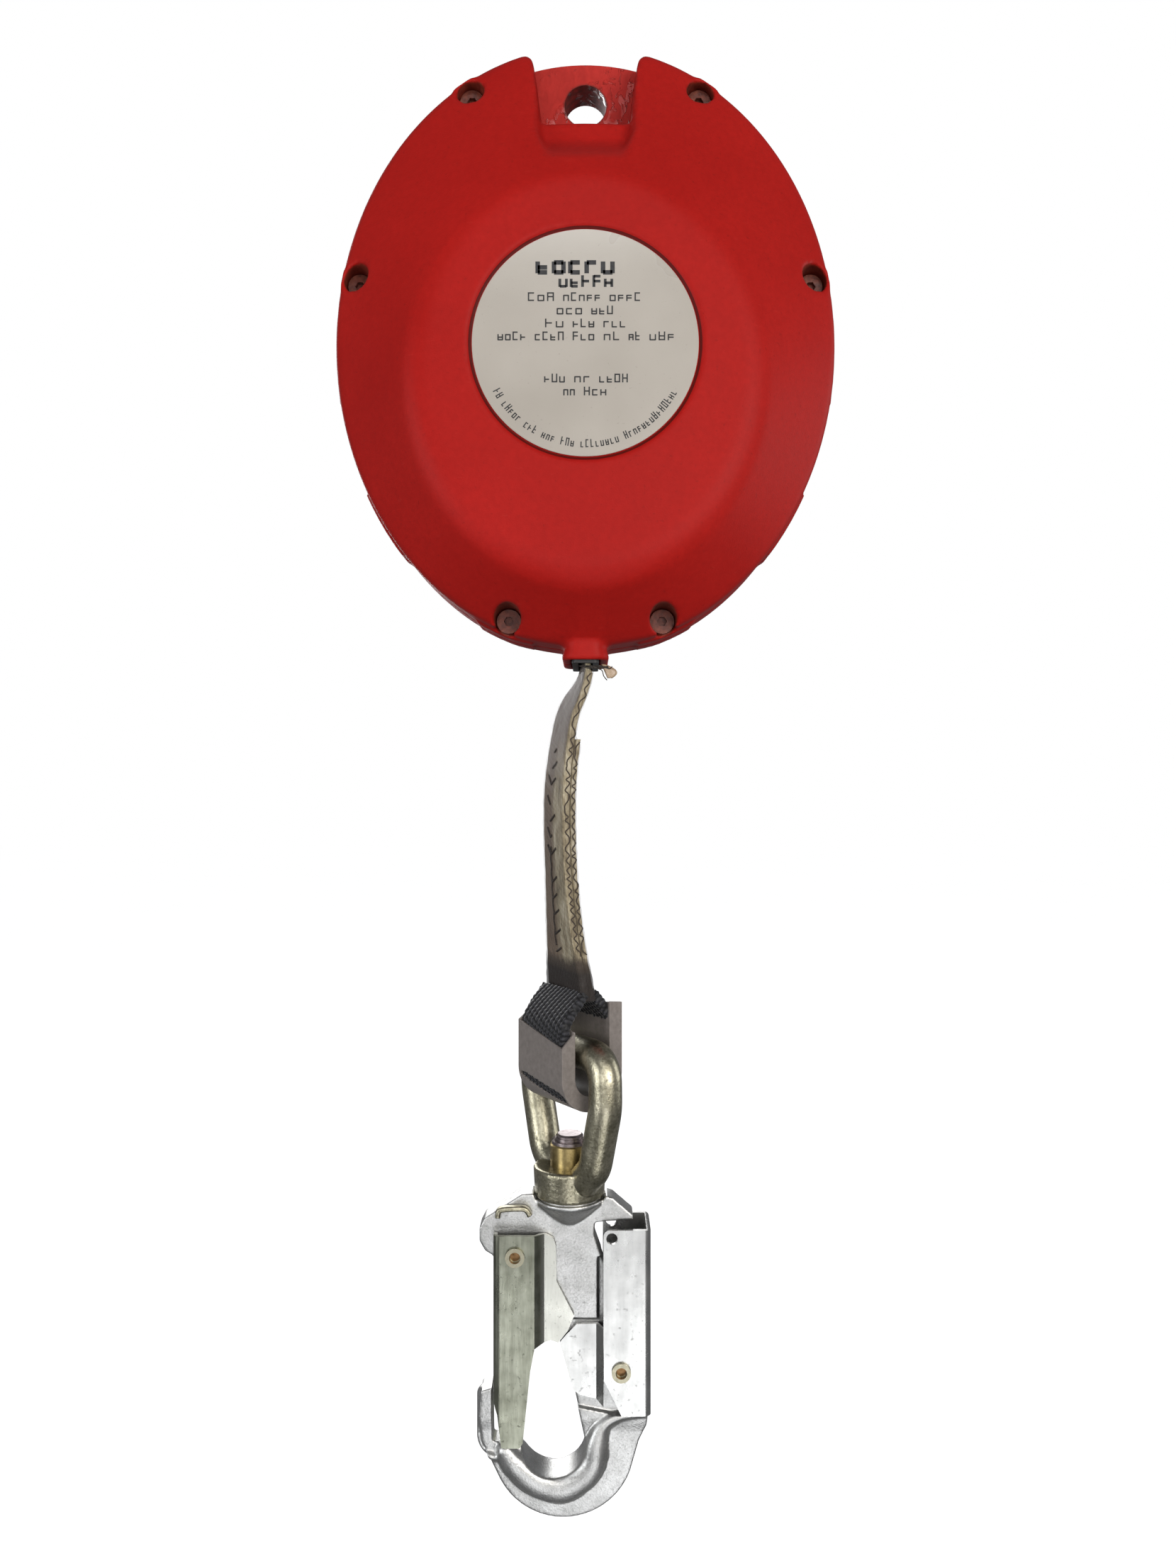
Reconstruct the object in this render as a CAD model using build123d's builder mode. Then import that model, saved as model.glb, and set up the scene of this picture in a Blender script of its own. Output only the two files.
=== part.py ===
"""Self retracting lifeline: a webbing drum in a two-part cover, with a swivel snap hook.

Frame: origin at the centre of the anchorage hole, +Z up, the labelled front faces -Y.
All sizes are in millimetres.
"""

import os
from math import asin, atan2, cos, pi, radians, sin, sqrt

from build123d import *

# ---------------------------------------------------------------- driving dimensions

# covers
COVER_HALF_WIDTH = 82.0
COVER_HALF_HEIGHT = 99.0
COVER_Z = -83.5
COVER_RIM_Y = 15.0
COVER_DEPTH = 38.0
FACE_HALF_WIDTH = 54.0
FACE_HALF_HEIGHT = 62.0
FACE_Z = -101.5
COVER_WALL = 3.0
RIM_RADIUS = 5.0
CREST_RADIUS = 14.0
RIM_PAD_PROUD = 0.9
RIM_PAD_Y = 9.0

# the notch that opens on the anchorage plates
NOTCH_FLOOR_Z = -17.0
NOTCH_TOP_Z = 24.0
NOTCH_HALF_FLOOR = 15.2
NOTCH_HALF_TOP = 20.4
NOTCH_BACK_HALF_FLOOR = 13.2
NOTCH_BACK_HALF_TOP = 18.4
SCOOP_END_Z = -29.5
SCOOP_HALF_END = 11.4
SCOOP_DEPTH_TOP = 5.0
SCOOP_DEPTH_END = 1.0

# cover screws, as (x, z)
SCREW_HEIGHTS = [(37.4, -1.8), (74.4, -62.7), (25.3, -173.4)]
SCREW_PLACES = [(side * x, z) for x, z in SCREW_HEIGHTS for side in (-1, 1)]
RECESS_RADIUS = 4.5
RECESS_FLOOR_Y = 8.0
TOWER_RADIUS = 6.2

# label
LABEL_Z = -91.0
LABEL_RADIUS = 35.0
LABEL_RECESS_RADIUS = 36.4
LABEL_RECESS_DEPTH = 1.2
LABEL_THICKNESS = 0.5

# webbing exit
EXIT_LIP_Z = -187.9
EXIT_LIP_HALF_X = 7.6
EXIT_LIP_HALF_Y = 18.0
GUIDE_HALF_X = 4.4
GUIDE_HALF_Y = 15.6
GUIDE_SLOT_HALF_X = 2.4
GUIDE_SLOT_HALF_Y = 13.4
GUIDE_END_Z = -187.4
GUIDE_FLANGE_Z = -176.6
GUIDE_CHEEK_X = 19.0
GUIDE_CHEEK_Y = 16.4
ROLLER_Z = -169.0
ROLLER_RADIUS = 5.0
ROLLER_PIN_RADIUS = 2.0

# webbing
WEB_WIDTH = 25.0
WEB_THICKNESS = 1.8
LINE_LENGTH = 6000.0

# drum
DRUM_Z = -95.5
HUB_RADIUS = 20.0
SHAFT_RADIUS = 6.0
BUSH_RADIUS = 8.0
RUNNING_GAP = 0.05
FLANGE_RADIUS = 63.2
FLANGE_THICKNESS = 2.0
FLANGE_GAP_HALF = 13.2
COIL_RADIUS = sqrt(HUB_RADIUS**2 + LINE_LENGTH * WEB_THICKNESS / pi)

# frame plates
PLATE_THICKNESS = 3.0
PLATE_Y = 27.0
ANCHOR_Y = 3.0
ANCHOR_RADIUS = 7.0
ANCHOR_TOP_Z = 13.7
ANCHOR_HALF_WIDTH = 17.6

# line end
LINE_X = -5.4
LOOP_YAW = 35.0
SLEEVE_END_Z = -297.0
BAR_Z = -317.0
LOOP_Z = -323.5
BAR_RADIUS = 5.0
LOOP_INNER_RADIUS = 6.9
THIMBLE_WALL = 1.2
LOOP_COVER_THICKNESS = 3.4
LOOP_WIDTH = 27.0

# swivel and hook
EYE_BASE_TOP_Z = -356.8
EYE_BASE_END_Z = -366.2
EYE_BASE_RADIUS = 11.25
SWIVEL_RADIUS = 5.0
COLLAR_RADIUS = 6.6
COLLAR_TOP_Z = -347.9
HOOK_TOP_Z = -367.1
HOOK_HALF_THICKNESS = 4.5
GATE_RIVET = (-18.1, -384.5)
LEVER_RIVET = (17.3, -422.8)
RIVET_RADIUS = 2.5
CHANNEL_HALF = 9.0
SHEET = 1.4

os.makedirs("parts", exist_ok=True)


# ---------------------------------------------------------------- placing helpers


def upright(y):
    """The plane at depth y that faces the front: local x is +X, local y is +Z."""
    return Plane(origin=(0, y, 0), x_dir=(1, 0, 0), z_dir=(0, -1, 0))


def hook_plane(y):
    """The same plane, with its origin on the swivel axis of the hanging line."""
    return Plane(origin=(LINE_X, y, 0), x_dir=(1, 0, 0), z_dir=(0, -1, 0))


def across_loop(offset):
    """The plane that the loop of webbing is drawn in, moved along the width of the strap."""
    turn = radians(LOOP_YAW)
    width_way = Vector(sin(turn), -cos(turn), 0)
    origin = Vector(LINE_X, 0, 0) + width_way * offset
    return Plane(origin=origin, x_dir=(cos(turn), sin(turn), 0), z_dir=width_way)


def along_loop():
    """The plane of the eye: local x runs along the width of the strap, local y is +Z."""
    turn = radians(LOOP_YAW)
    width_way = (sin(turn), -cos(turn), 0)
    return Plane(origin=(LINE_X, 0, 0), x_dir=width_way, z_dir=(-cos(turn), -sin(turn), 0))


def finish(builder, name):
    """Label a finished piece and write its STEP file."""
    builder.part.label = name
    export_step(builder.part, f"parts/{name}.step")


# ---------------------------------------------------------------- covers


def cover_solid(side, inset, depth, rim_y):
    """One half of the egg-shaped cover, from y = 0 outwards. side is -1 for the front."""
    with BuildPart() as body:
        with BuildSketch(upright(0)):
            with Locations((0, COVER_Z)):
                Ellipse(COVER_HALF_WIDTH - inset, COVER_HALF_HEIGHT - inset)
        extrude(amount=-side * rim_y)
        with BuildSketch(upright(side * rim_y)):
            with Locations((0, COVER_Z)):
                Ellipse(COVER_HALF_WIDTH - inset, COVER_HALF_HEIGHT - inset)
        with BuildSketch(upright(side * depth)):
            with Locations((0, FACE_Z)):
                Ellipse(FACE_HALF_WIDTH - inset / 2, FACE_HALF_HEIGHT - inset / 2)
        loft(ruled=True)
    return body


def rim_pads(side):
    """Shallow grip pads that stand proud of the rim."""
    bands = [(-36.0, 17.0), (-91.0, 20.0), (-141.0, 20.0)]
    with BuildPart() as pads:
        with BuildSketch(upright(0)):
            with Locations((0, COVER_Z)):
                Ellipse(COVER_HALF_WIDTH + RIM_PAD_PROUD, COVER_HALF_HEIGHT + RIM_PAD_PROUD)
            with BuildSketch(Plane.XY, mode=Mode.PRIVATE) as keep:
                for z, height in bands:
                    with Locations((0, z)):
                        Rectangle(200, height)
                with Locations((-27.3, -176), (27.3, -176)):
                    Rectangle(18, 30)
            add(keep.sketch, mode=Mode.INTERSECT)
        extrude(amount=-side * RIM_PAD_Y)
    return pads


def notch_cutter(side):
    """The space that the notch takes out of one cover, narrower towards the plates."""
    deep = side * (COVER_DEPTH + 2)
    near = side * (ANCHOR_Y + PLATE_THICKNESS + 0.2)
    with BuildPart() as cutter:
        with BuildSketch(upright(near)):
            with BuildLine():
                Polyline(
                    (-NOTCH_BACK_HALF_FLOOR, NOTCH_FLOOR_Z),
                    (NOTCH_BACK_HALF_FLOOR, NOTCH_FLOOR_Z),
                    (NOTCH_BACK_HALF_TOP, NOTCH_TOP_Z),
                    (-NOTCH_BACK_HALF_TOP, NOTCH_TOP_Z),
                    close=True,
                )
            make_face()
        with BuildSketch(upright(deep)):
            with BuildLine():
                Polyline(
                    (-NOTCH_HALF_FLOOR, NOTCH_FLOOR_Z),
                    (NOTCH_HALF_FLOOR, NOTCH_FLOOR_Z),
                    (NOTCH_HALF_TOP, NOTCH_TOP_Z),
                    (-NOTCH_HALF_TOP, NOTCH_TOP_Z),
                    close=True,
                )
            make_face()
        loft(ruled=True)
        with BuildSketch(upright(0)):
            with BuildLine():
                Polyline(
                    (-ANCHOR_HALF_WIDTH - 0.8, NOTCH_FLOOR_Z),
                    (ANCHOR_HALF_WIDTH + 0.8, NOTCH_FLOOR_Z),
                    (NOTCH_BACK_HALF_TOP, NOTCH_TOP_Z),
                    (-NOTCH_BACK_HALF_TOP, NOTCH_TOP_Z),
                    close=True,
                )
            make_face()
        extrude(amount=-near)
    return cutter


def scoop_cutter():
    """A shallow ramp in the front face that leads down from the notch's ledge."""
    ledge_y = -34.0
    with BuildPart() as cutter:
        with BuildSketch(Plane.XY.offset(NOTCH_FLOOR_Z + 0.01)):
            with Locations((0, ledge_y + SCOOP_DEPTH_TOP / 2 - 6)):
                Rectangle(2 * NOTCH_HALF_FLOOR, SCOOP_DEPTH_TOP + 12)
        with BuildSketch(Plane.XY.offset(SCOOP_END_Z)):
            with Locations((0, -COVER_DEPTH - 4)):
                Rectangle(2 * SCOOP_HALF_END, 8)
        loft(ruled=True)
    return cutter


def cover(side):
    """A hollow cover half with screw towers, notch and webbing exit lip."""
    outer = cover_solid(side, 0, COVER_DEPTH, COVER_RIM_Y)
    inner = cover_solid(side, COVER_WALL, COVER_DEPTH - COVER_WALL, COVER_RIM_Y - 1)
    pads = rim_pads(side)
    with BuildPart() as shell:
        add(outer.part)
        face_edges = shell.edges().filter_by(GeomType.LINE, reverse=True).group_by(Axis.Y)
        rim_and_crest = face_edges[1] + face_edges[-1] if side > 0 else face_edges[-2] + face_edges[0]
        crest = [edge for edge in rim_and_crest if abs(edge.center().Y) > COVER_DEPTH - 1]
        rim = [edge for edge in rim_and_crest if abs(abs(edge.center().Y) - COVER_RIM_Y) < 1]
        fillet(crest, radius=CREST_RADIUS)
        fillet(rim, radius=RIM_RADIUS)
        add(pads.part)
        with BuildSketch(Plane.XY.offset(EXIT_LIP_Z)):
            RectangleRounded(2 * EXIT_LIP_HALF_X, 2 * EXIT_LIP_HALF_Y, 5)
        extrude(amount=8)
        add(inner.part, mode=Mode.SUBTRACT)
        add(screw_towers(side, outer).part)
        add(notch_walls(side).part)
        add(notch_cutter(side).part, mode=Mode.SUBTRACT)
        if side < 0:
            add(scoop_cutter().part, mode=Mode.SUBTRACT)
            add(screw_recesses().part, mode=Mode.SUBTRACT)
            add(label_recess().part, mode=Mode.SUBTRACT)
        else:
            add(insert_bores().part, mode=Mode.SUBTRACT)
        with BuildSketch(Plane.XY.offset(EXIT_LIP_Z - 1)):
            Rectangle(2 * GUIDE_HALF_X + 0.2, 2 * GUIDE_HALF_Y + 0.2)
        extrude(amount=20, mode=Mode.SUBTRACT)
        split(bisect_by=upright(0), keep=Keep.TOP if side < 0 else Keep.BOTTOM)
    return shell


def screw_towers(side, outer):
    """Screw towers, trimmed to the cover's outside."""
    with BuildPart() as towers:
        with BuildSketch(upright(0)):
            with Locations(*SCREW_PLACES):
                Circle(TOWER_RADIUS)
        extrude(amount=-side * (COVER_DEPTH - 1))
        add(outer.part, mode=Mode.INTERSECT)
    return towers


def notch_walls(side):
    """The floor and cheeks that close the cover round the notch."""
    outer = cover_solid(side, 1.2, COVER_DEPTH - 1.2, COVER_RIM_Y)
    with BuildPart() as walls:
        with BuildSketch(upright(side * (ANCHOR_Y + PLATE_THICKNESS + 0.2))):
            with BuildLine():
                Polyline(
                    (-NOTCH_HALF_FLOOR - 3, NOTCH_FLOOR_Z - 2),
                    (NOTCH_HALF_FLOOR + 3, NOTCH_FLOOR_Z - 2),
                    (NOTCH_HALF_TOP + 3, NOTCH_TOP_Z),
                    (-NOTCH_HALF_TOP - 3, NOTCH_TOP_Z),
                    close=True,
                )
            make_face()
        extrude(amount=-side * COVER_DEPTH)
        add(outer.part, mode=Mode.INTERSECT)
    return walls


def screw_recesses():
    """Deep round recesses for the screw heads, and the clearance holes below them."""
    with BuildPart() as recesses:
        with BuildSketch(upright(-COVER_DEPTH)):
            with Locations(*SCREW_PLACES):
                Circle(RECESS_RADIUS)
        extrude(amount=-(COVER_DEPTH - RECESS_FLOOR_Y))
        with BuildSketch(upright(-RECESS_FLOOR_Y - 1)):
            with Locations(*SCREW_PLACES):
                Circle(2.3)
        extrude(amount=-RECESS_FLOOR_Y - 1)
    return recesses


def label_recess():
    """The round recess that the label sits in."""
    with BuildPart() as recess:
        with BuildSketch(upright(-COVER_DEPTH)):
            with Locations((0, LABEL_Z)):
                Circle(LABEL_RECESS_RADIUS)
        extrude(amount=-LABEL_RECESS_DEPTH)
    return recess


def insert_bores():
    """Blind bores for the brass inserts in the rear cover's towers."""
    with BuildPart() as bores:
        with BuildSketch(upright(0)):
            with Locations(*SCREW_PLACES):
                Circle(3.0)
        extrude(amount=-17.0)
    return bores


front_cover = cover(-1)
rear_cover = cover(1)
finish(front_cover, "front_cover")
finish(rear_cover, "rear_cover")

with BuildPart() as cover_screws:
    with BuildSketch(upright(-RECESS_FLOOR_Y - 3.2)):
        with Locations(*SCREW_PLACES):
            Circle(4.0)
    extrude(amount=-3.2)
    with BuildSketch(upright(-RECESS_FLOOR_Y)):
        with Locations(*SCREW_PLACES):
            Circle(1.98)
    extrude(amount=-(RECESS_FLOOR_Y + 8.0))
    with BuildSketch(upright(-RECESS_FLOOR_Y - 3.2)):
        with Locations(*SCREW_PLACES):
            RegularPolygon(1.7, 6)
    extrude(amount=-1.8, mode=Mode.SUBTRACT)
finish(cover_screws, "cover_screws")

with BuildPart() as cover_inserts:
    with BuildSketch(upright(0.2)):
        with Locations(*SCREW_PLACES):
            Circle(3.0)
            Circle(2.0, mode=Mode.SUBTRACT)
    extrude(amount=-9.6)
finish(cover_inserts, "cover_inserts")

with BuildPart() as label_disc:
    with BuildSketch(upright(-COVER_DEPTH + LABEL_RECESS_DEPTH)):
        with Locations((0, LABEL_Z)):
            Circle(LABEL_RADIUS)
    extrude(amount=LABEL_THICKNESS)
finish(label_disc, "label_disc")


# ---------------------------------------------------------------- webbing exit

with BuildPart() as webbing_guide:
    with BuildSketch(Plane.XY.offset(GUIDE_END_Z)):
        RectangleRounded(2 * GUIDE_HALF_X, 2 * GUIDE_HALF_Y, 1.5)
    extrude(amount=GUIDE_FLANGE_Z - GUIDE_END_Z)
    with BuildSketch(Plane.XY.offset(GUIDE_FLANGE_Z)):
        Rectangle(GUIDE_CHEEK_X, 2 * GUIDE_CHEEK_Y)
    extrude(amount=2)
    with BuildSketch(Plane.XY.offset(GUIDE_FLANGE_Z)):
        with Locations((0, -GUIDE_CHEEK_Y + 1.2), (0, GUIDE_CHEEK_Y - 1.2)):
            Rectangle(GUIDE_CHEEK_X, 2.4)
    extrude(amount=ROLLER_Z + 5 - GUIDE_FLANGE_Z)
    with BuildSketch(Plane.XY.offset(GUIDE_END_Z)):
        Rectangle(2 * GUIDE_SLOT_HALF_X, 2 * GUIDE_SLOT_HALF_Y)
    extrude(amount=20, mode=Mode.SUBTRACT)
    with BuildSketch(upright(-20)):
        with Locations((-ROLLER_RADIUS - 1, ROLLER_Z), (ROLLER_RADIUS + 1, ROLLER_Z)):
            Circle(ROLLER_PIN_RADIUS)
    extrude(amount=-40, mode=Mode.SUBTRACT)
finish(webbing_guide, "webbing_guide")

with BuildPart() as roller_pins:
    with BuildSketch(upright(-GUIDE_CHEEK_Y)):
        with Locations((-ROLLER_RADIUS - 1, ROLLER_Z), (ROLLER_RADIUS + 1, ROLLER_Z)):
            Circle(ROLLER_PIN_RADIUS)
    extrude(amount=-2 * GUIDE_CHEEK_Y)
finish(roller_pins, "roller_pins")


def guide_roller(x):
    """One roller of the pair that the webbing passes between."""
    with BuildPart() as roller:
        with BuildSketch(upright(-13.5)):
            with Locations((x, ROLLER_Z)):
                Circle(ROLLER_RADIUS)
                Circle(ROLLER_PIN_RADIUS + RUNNING_GAP, mode=Mode.SUBTRACT)
        extrude(amount=-27)
        chamfer(roller.edges().filter_by(GeomType.CIRCLE).group_by(SortBy.RADIUS)[-1], length=0.5)
    return roller


left_guide_roller = guide_roller(-ROLLER_RADIUS - 1)
right_guide_roller = guide_roller(ROLLER_RADIUS + 1)
finish(left_guide_roller, "left_guide_roller")
finish(right_guide_roller, "right_guide_roller")


# ---------------------------------------------------------------- frame plates

ANCHOR_RIVETS = [(-9.5, -13.2), (9.5, -13.2)]
BRAKE_SCREW_CIRCLE = 46.7
BRAKE_SCREW_COUNT = 6
FRAME_Z = -97.0


def anchor_outline(low_z):
    """The arched top of the anchorage, down to low_z."""
    with BuildSketch() as arch:
        with Locations((0, ANCHOR_TOP_Z - 67)):
            Circle(67)
        with Locations((0, low_z + 50)):
            Rectangle(2 * ANCHOR_HALF_WIDTH, 100, mode=Mode.INTERSECT)
    return arch.sketch


def frame_plate(side):
    """A steel side plate: flat beside the drum, set inwards at the anchorage."""
    flat = side * PLATE_Y
    near = side * ANCHOR_Y
    out = side * PLATE_THICKNESS
    with BuildPart() as plate:
        with BuildSketch(Plane.YZ):
            with BuildLine():
                Polyline(
                    (near, 20),
                    (near, -21.0),
                    (flat, -40.0),
                    (flat, -160.0),
                    (flat + out, -160.0),
                    (flat + out, -38.6),
                    (near + out, -19.6),
                    (near + out, 20),
                    close=True,
                )
            make_face()
        extrude(amount=70, both=True)
        with BuildSketch(upright(-60)):
            add(anchor_outline(-60))
            with Locations((0, FRAME_Z)):
                Ellipse(52, 60)
            with Locations((0, 0), *ANCHOR_RIVETS):
                Circle(2.5, mode=Mode.SUBTRACT)
            Circle(ANCHOR_RADIUS, mode=Mode.SUBTRACT)
            with Locations((0, DRUM_Z)):
                Circle(SHAFT_RADIUS - 1, mode=Mode.SUBTRACT)
                if side < 0:
                    with PolarLocations(BRAKE_SCREW_CIRCLE, BRAKE_SCREW_COUNT):
                        Circle(2.0, mode=Mode.SUBTRACT)
        extrude(amount=-120, mode=Mode.INTERSECT)
    return plate


front_frame_plate = frame_plate(-1)
rear_frame_plate = frame_plate(1)
finish(front_frame_plate, "front_frame_plate")
finish(rear_frame_plate, "rear_frame_plate")

with BuildPart() as anchor_core:
    with BuildSketch(upright(-ANCHOR_Y)):
        add(anchor_outline(-24))
        Circle(ANCHOR_RADIUS, mode=Mode.SUBTRACT)
        with Locations(*ANCHOR_RIVETS):
            Circle(2.5, mode=Mode.SUBTRACT)
    extrude(amount=-2 * ANCHOR_Y)
finish(anchor_core, "anchor_core")

with BuildPart() as anchor_rivets:
    with BuildSketch(upright(-ANCHOR_Y - PLATE_THICKNESS)):
        with Locations(*ANCHOR_RIVETS):
            Circle(2.5)
    extrude(amount=-2 * (ANCHOR_Y + PLATE_THICKNESS))
    for face_y in (-ANCHOR_Y - PLATE_THICKNESS, ANCHOR_Y + PLATE_THICKNESS):
        with BuildSketch(upright(face_y)):
            with Locations(*ANCHOR_RIVETS):
                Circle(3.4)
        extrude(amount=-1.2 if face_y > 0 else 1.2)
finish(anchor_rivets, "anchor_rivets")


# ---------------------------------------------------------------- drum and its shaft


def drum_ring(outer, inner, y_near, y_far):
    """A ring about the drum's axis between two depths."""
    with BuildPart() as ring:
        with BuildSketch(upright(y_near)):
            with Locations((0, DRUM_Z)):
                Circle(outer)
                if inner > 0:
                    Circle(inner, mode=Mode.SUBTRACT)
        extrude(amount=-(y_far - y_near))
    return ring.part


NUT_HEIGHT = 3.6
OUTSIDE_Y = PLATE_Y + PLATE_THICKNESS

with BuildPart() as drum_shaft:
    add(drum_ring(SHAFT_RADIUS, 0, -PLATE_Y, PLATE_Y))
    add(drum_ring(SHAFT_RADIUS - 1, 0, -OUTSIDE_Y - NUT_HEIGHT, OUTSIDE_Y + NUT_HEIGHT))
finish(drum_shaft, "drum_shaft")

with BuildPart() as shaft_nuts:
    for nut_y in (-OUTSIDE_Y - NUT_HEIGHT, OUTSIDE_Y):
        with BuildSketch(upright(nut_y)):
            with Locations((0, DRUM_Z)):
                RegularPolygon(9, 6)
                Circle(SHAFT_RADIUS - 1, mode=Mode.SUBTRACT)
        extrude(amount=-NUT_HEIGHT)
finish(shaft_nuts, "shaft_nuts")

FLANGE_OUT_Y = FLANGE_GAP_HALF + FLANGE_THICKNESS
SPRING_CUP_RADIUS = 50.0
SPRING_CUP_Y = 24.4
CUP_SCREW_CIRCLE = SPRING_CUP_RADIUS - 2.6
CUP_SCREW_COUNT = 4
CUP_SCREW_RADIUS = 1.5
WEB_PIN_RADIUS = 2.5
WEB_PIN_PLACE = (0.0, DRUM_Z + 14.0)
PAWL_PIVOT_CIRCLE = 21.0
PAWL_PIN_RADIUS = 2.5

with BuildPart() as drum_core:
    add(drum_ring(HUB_RADIUS, 0, -FLANGE_GAP_HALF, FLANGE_GAP_HALF))
    add(drum_ring(FLANGE_RADIUS, 0, FLANGE_GAP_HALF, FLANGE_OUT_Y))
    add(drum_ring(SPRING_CUP_RADIUS, SPRING_CUP_RADIUS - 5, FLANGE_OUT_Y, SPRING_CUP_Y))
    with BuildSketch(upright(-30)):
        with Locations((0, DRUM_Z)):
            Circle(BUSH_RADIUS)
        with Locations(WEB_PIN_PLACE):
            Circle(WEB_PIN_RADIUS)
    extrude(amount=-60, mode=Mode.SUBTRACT)
    with BuildSketch(upright(SPRING_CUP_Y)):
        with Locations((0, DRUM_Z)), PolarLocations(CUP_SCREW_CIRCLE, CUP_SCREW_COUNT, start_angle=45):
            Circle(CUP_SCREW_RADIUS)
    extrude(amount=6, mode=Mode.SUBTRACT)
finish(drum_core, "drum_core")

with BuildPart() as front_drum_flange:
    add(drum_ring(FLANGE_RADIUS, BUSH_RADIUS, -FLANGE_OUT_Y, -FLANGE_GAP_HALF))
    with BuildSketch(upright(-30)):
        with Locations((0, DRUM_Z)):
            with PolarLocations(PAWL_PIVOT_CIRCLE, 2):
                Circle(PAWL_PIN_RADIUS)
            with PolarLocations(48, 6):
                Circle(5)
    extrude(amount=-60, mode=Mode.SUBTRACT)
finish(front_drum_flange, "front_drum_flange")

with BuildPart() as drum_bushes:
    add(drum_ring(BUSH_RADIUS, SHAFT_RADIUS + RUNNING_GAP, -FLANGE_OUT_Y, -4))
    add(drum_ring(BUSH_RADIUS, SHAFT_RADIUS + RUNNING_GAP, 4, FLANGE_OUT_Y))
finish(drum_bushes, "drum_bushes")

with BuildPart() as webbing_pin:
    with BuildSketch(upright(-FLANGE_GAP_HALF)):
        with Locations(WEB_PIN_PLACE):
            Circle(WEB_PIN_RADIUS)
    extrude(amount=-FLANGE_GAP_HALF - FLANGE_OUT_Y)
finish(webbing_pin, "webbing_pin")

with BuildPart() as webbing_coil:
    add(drum_ring(COIL_RADIUS, HUB_RADIUS, -WEB_WIDTH / 2, WEB_WIDTH / 2))
finish(webbing_coil, "webbing_coil")

SPRING_STRIP = 0.8
SPRING_PITCH = 3.2
SPRING_START_RADIUS = 9.6
SPRING_TURNS = 10

with BuildPart() as power_spring:
    with BuildSketch(upright(16.0)):
        for half_turn in range(2 * SPRING_TURNS):
            radius = SPRING_START_RADIUS + half_turn * SPRING_PITCH / 2
            shift = SPRING_PITCH / 4 if half_turn % 2 else -SPRING_PITCH / 4
            with BuildSketch(Plane.XY, mode=Mode.PRIVATE) as strip:
                Circle(radius + SPRING_STRIP / 2)
                Circle(radius - SPRING_STRIP / 2, mode=Mode.SUBTRACT)
                with Locations((0, -60 if half_turn % 2 else 60)):
                    Rectangle(120, 120, mode=Mode.SUBTRACT)
            with Locations((shift, DRUM_Z)):
                add(strip.sketch)
    extrude(amount=-7.6)
finish(power_spring, "power_spring")

with BuildPart() as spring_cover:
    add(drum_ring(SPRING_CUP_RADIUS, SHAFT_RADIUS + 2, SPRING_CUP_Y, SPRING_CUP_Y + 1.2))
    with BuildSketch(upright(SPRING_CUP_Y)):
        with Locations((0, DRUM_Z)), PolarLocations(CUP_SCREW_CIRCLE, CUP_SCREW_COUNT, start_angle=45):
            Circle(CUP_SCREW_RADIUS)
    extrude(amount=-3, mode=Mode.SUBTRACT)
finish(spring_cover, "spring_cover")

with BuildPart() as spring_cover_screws:
    with BuildSketch(upright(SPRING_CUP_Y + 1.2)):
        with Locations((0, DRUM_Z)), PolarLocations(CUP_SCREW_CIRCLE, CUP_SCREW_COUNT, start_angle=45):
            Circle(CUP_SCREW_RADIUS)
    extrude(amount=6)
    with BuildSketch(upright(SPRING_CUP_Y + 1.2)):
        with Locations((0, DRUM_Z)), PolarLocations(CUP_SCREW_CIRCLE, CUP_SCREW_COUNT, start_angle=45):
            Circle(CUP_SCREW_RADIUS + 0.7)
    extrude(amount=-0.8)
finish(spring_cover_screws, "spring_cover_screws")


# ---------------------------------------------------------------- locking pawls and brake

BRAKE_OUTER = 43.5
BRAKE_ROOT = 37.0
BRAKE_TIP = 33.0
TEETH = 12
PAWL_NEAR_Y = -22.4
PAWL_FAR_Y = -18.4

with BuildSketch() as ratchet_notch:
    with BuildLine():
        Polyline(
            (BRAKE_TIP - 2, 0),
            (BRAKE_ROOT, 0),
            (BRAKE_ROOT - 1.5, 9),
            (BRAKE_TIP - 3, 12),
            close=True,
        )
    make_face()

with BuildPart() as brake_ring:
    with BuildSketch(upright(-23.2)):
        with Locations((0, DRUM_Z)):
            Circle(BRAKE_OUTER)
            Circle(BRAKE_TIP, mode=Mode.SUBTRACT)
            with PolarLocations(0, TEETH):
                add(ratchet_notch.sketch, mode=Mode.SUBTRACT)
    extrude(amount=-5)
finish(brake_ring, "brake_ring")

with BuildPart() as brake_linings:
    add(drum_ring(BRAKE_OUTER - 0.5, BRAKE_ROOT + 0.5, -24.4, -23.2))
    add(drum_ring(BRAKE_OUTER - 0.5, BRAKE_ROOT + 0.5, -18.2, -17.0))
finish(brake_linings, "brake_linings")

with BuildPart() as brake_clamp_ring:
    add(drum_ring(BRAKE_SCREW_CIRCLE + 3.4, BRAKE_ROOT, -17.0, -15.7))
    with BuildSketch(upright(-20)):
        with Locations((0, DRUM_Z)), PolarLocations(BRAKE_SCREW_CIRCLE, BRAKE_SCREW_COUNT):
            Circle(2)
    extrude(amount=-10, mode=Mode.SUBTRACT)
finish(brake_clamp_ring, "brake_clamp_ring")

with BuildPart() as brake_spring_washer:
    add(drum_ring(BRAKE_OUTER - 0.5, BRAKE_ROOT + 0.5, -25.2, -24.4))
    add(drum_ring(BRAKE_ROOT + 2.5, BRAKE_ROOT + 0.5, -27.0, -25.2))
finish(brake_spring_washer, "brake_spring_washer")

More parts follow.
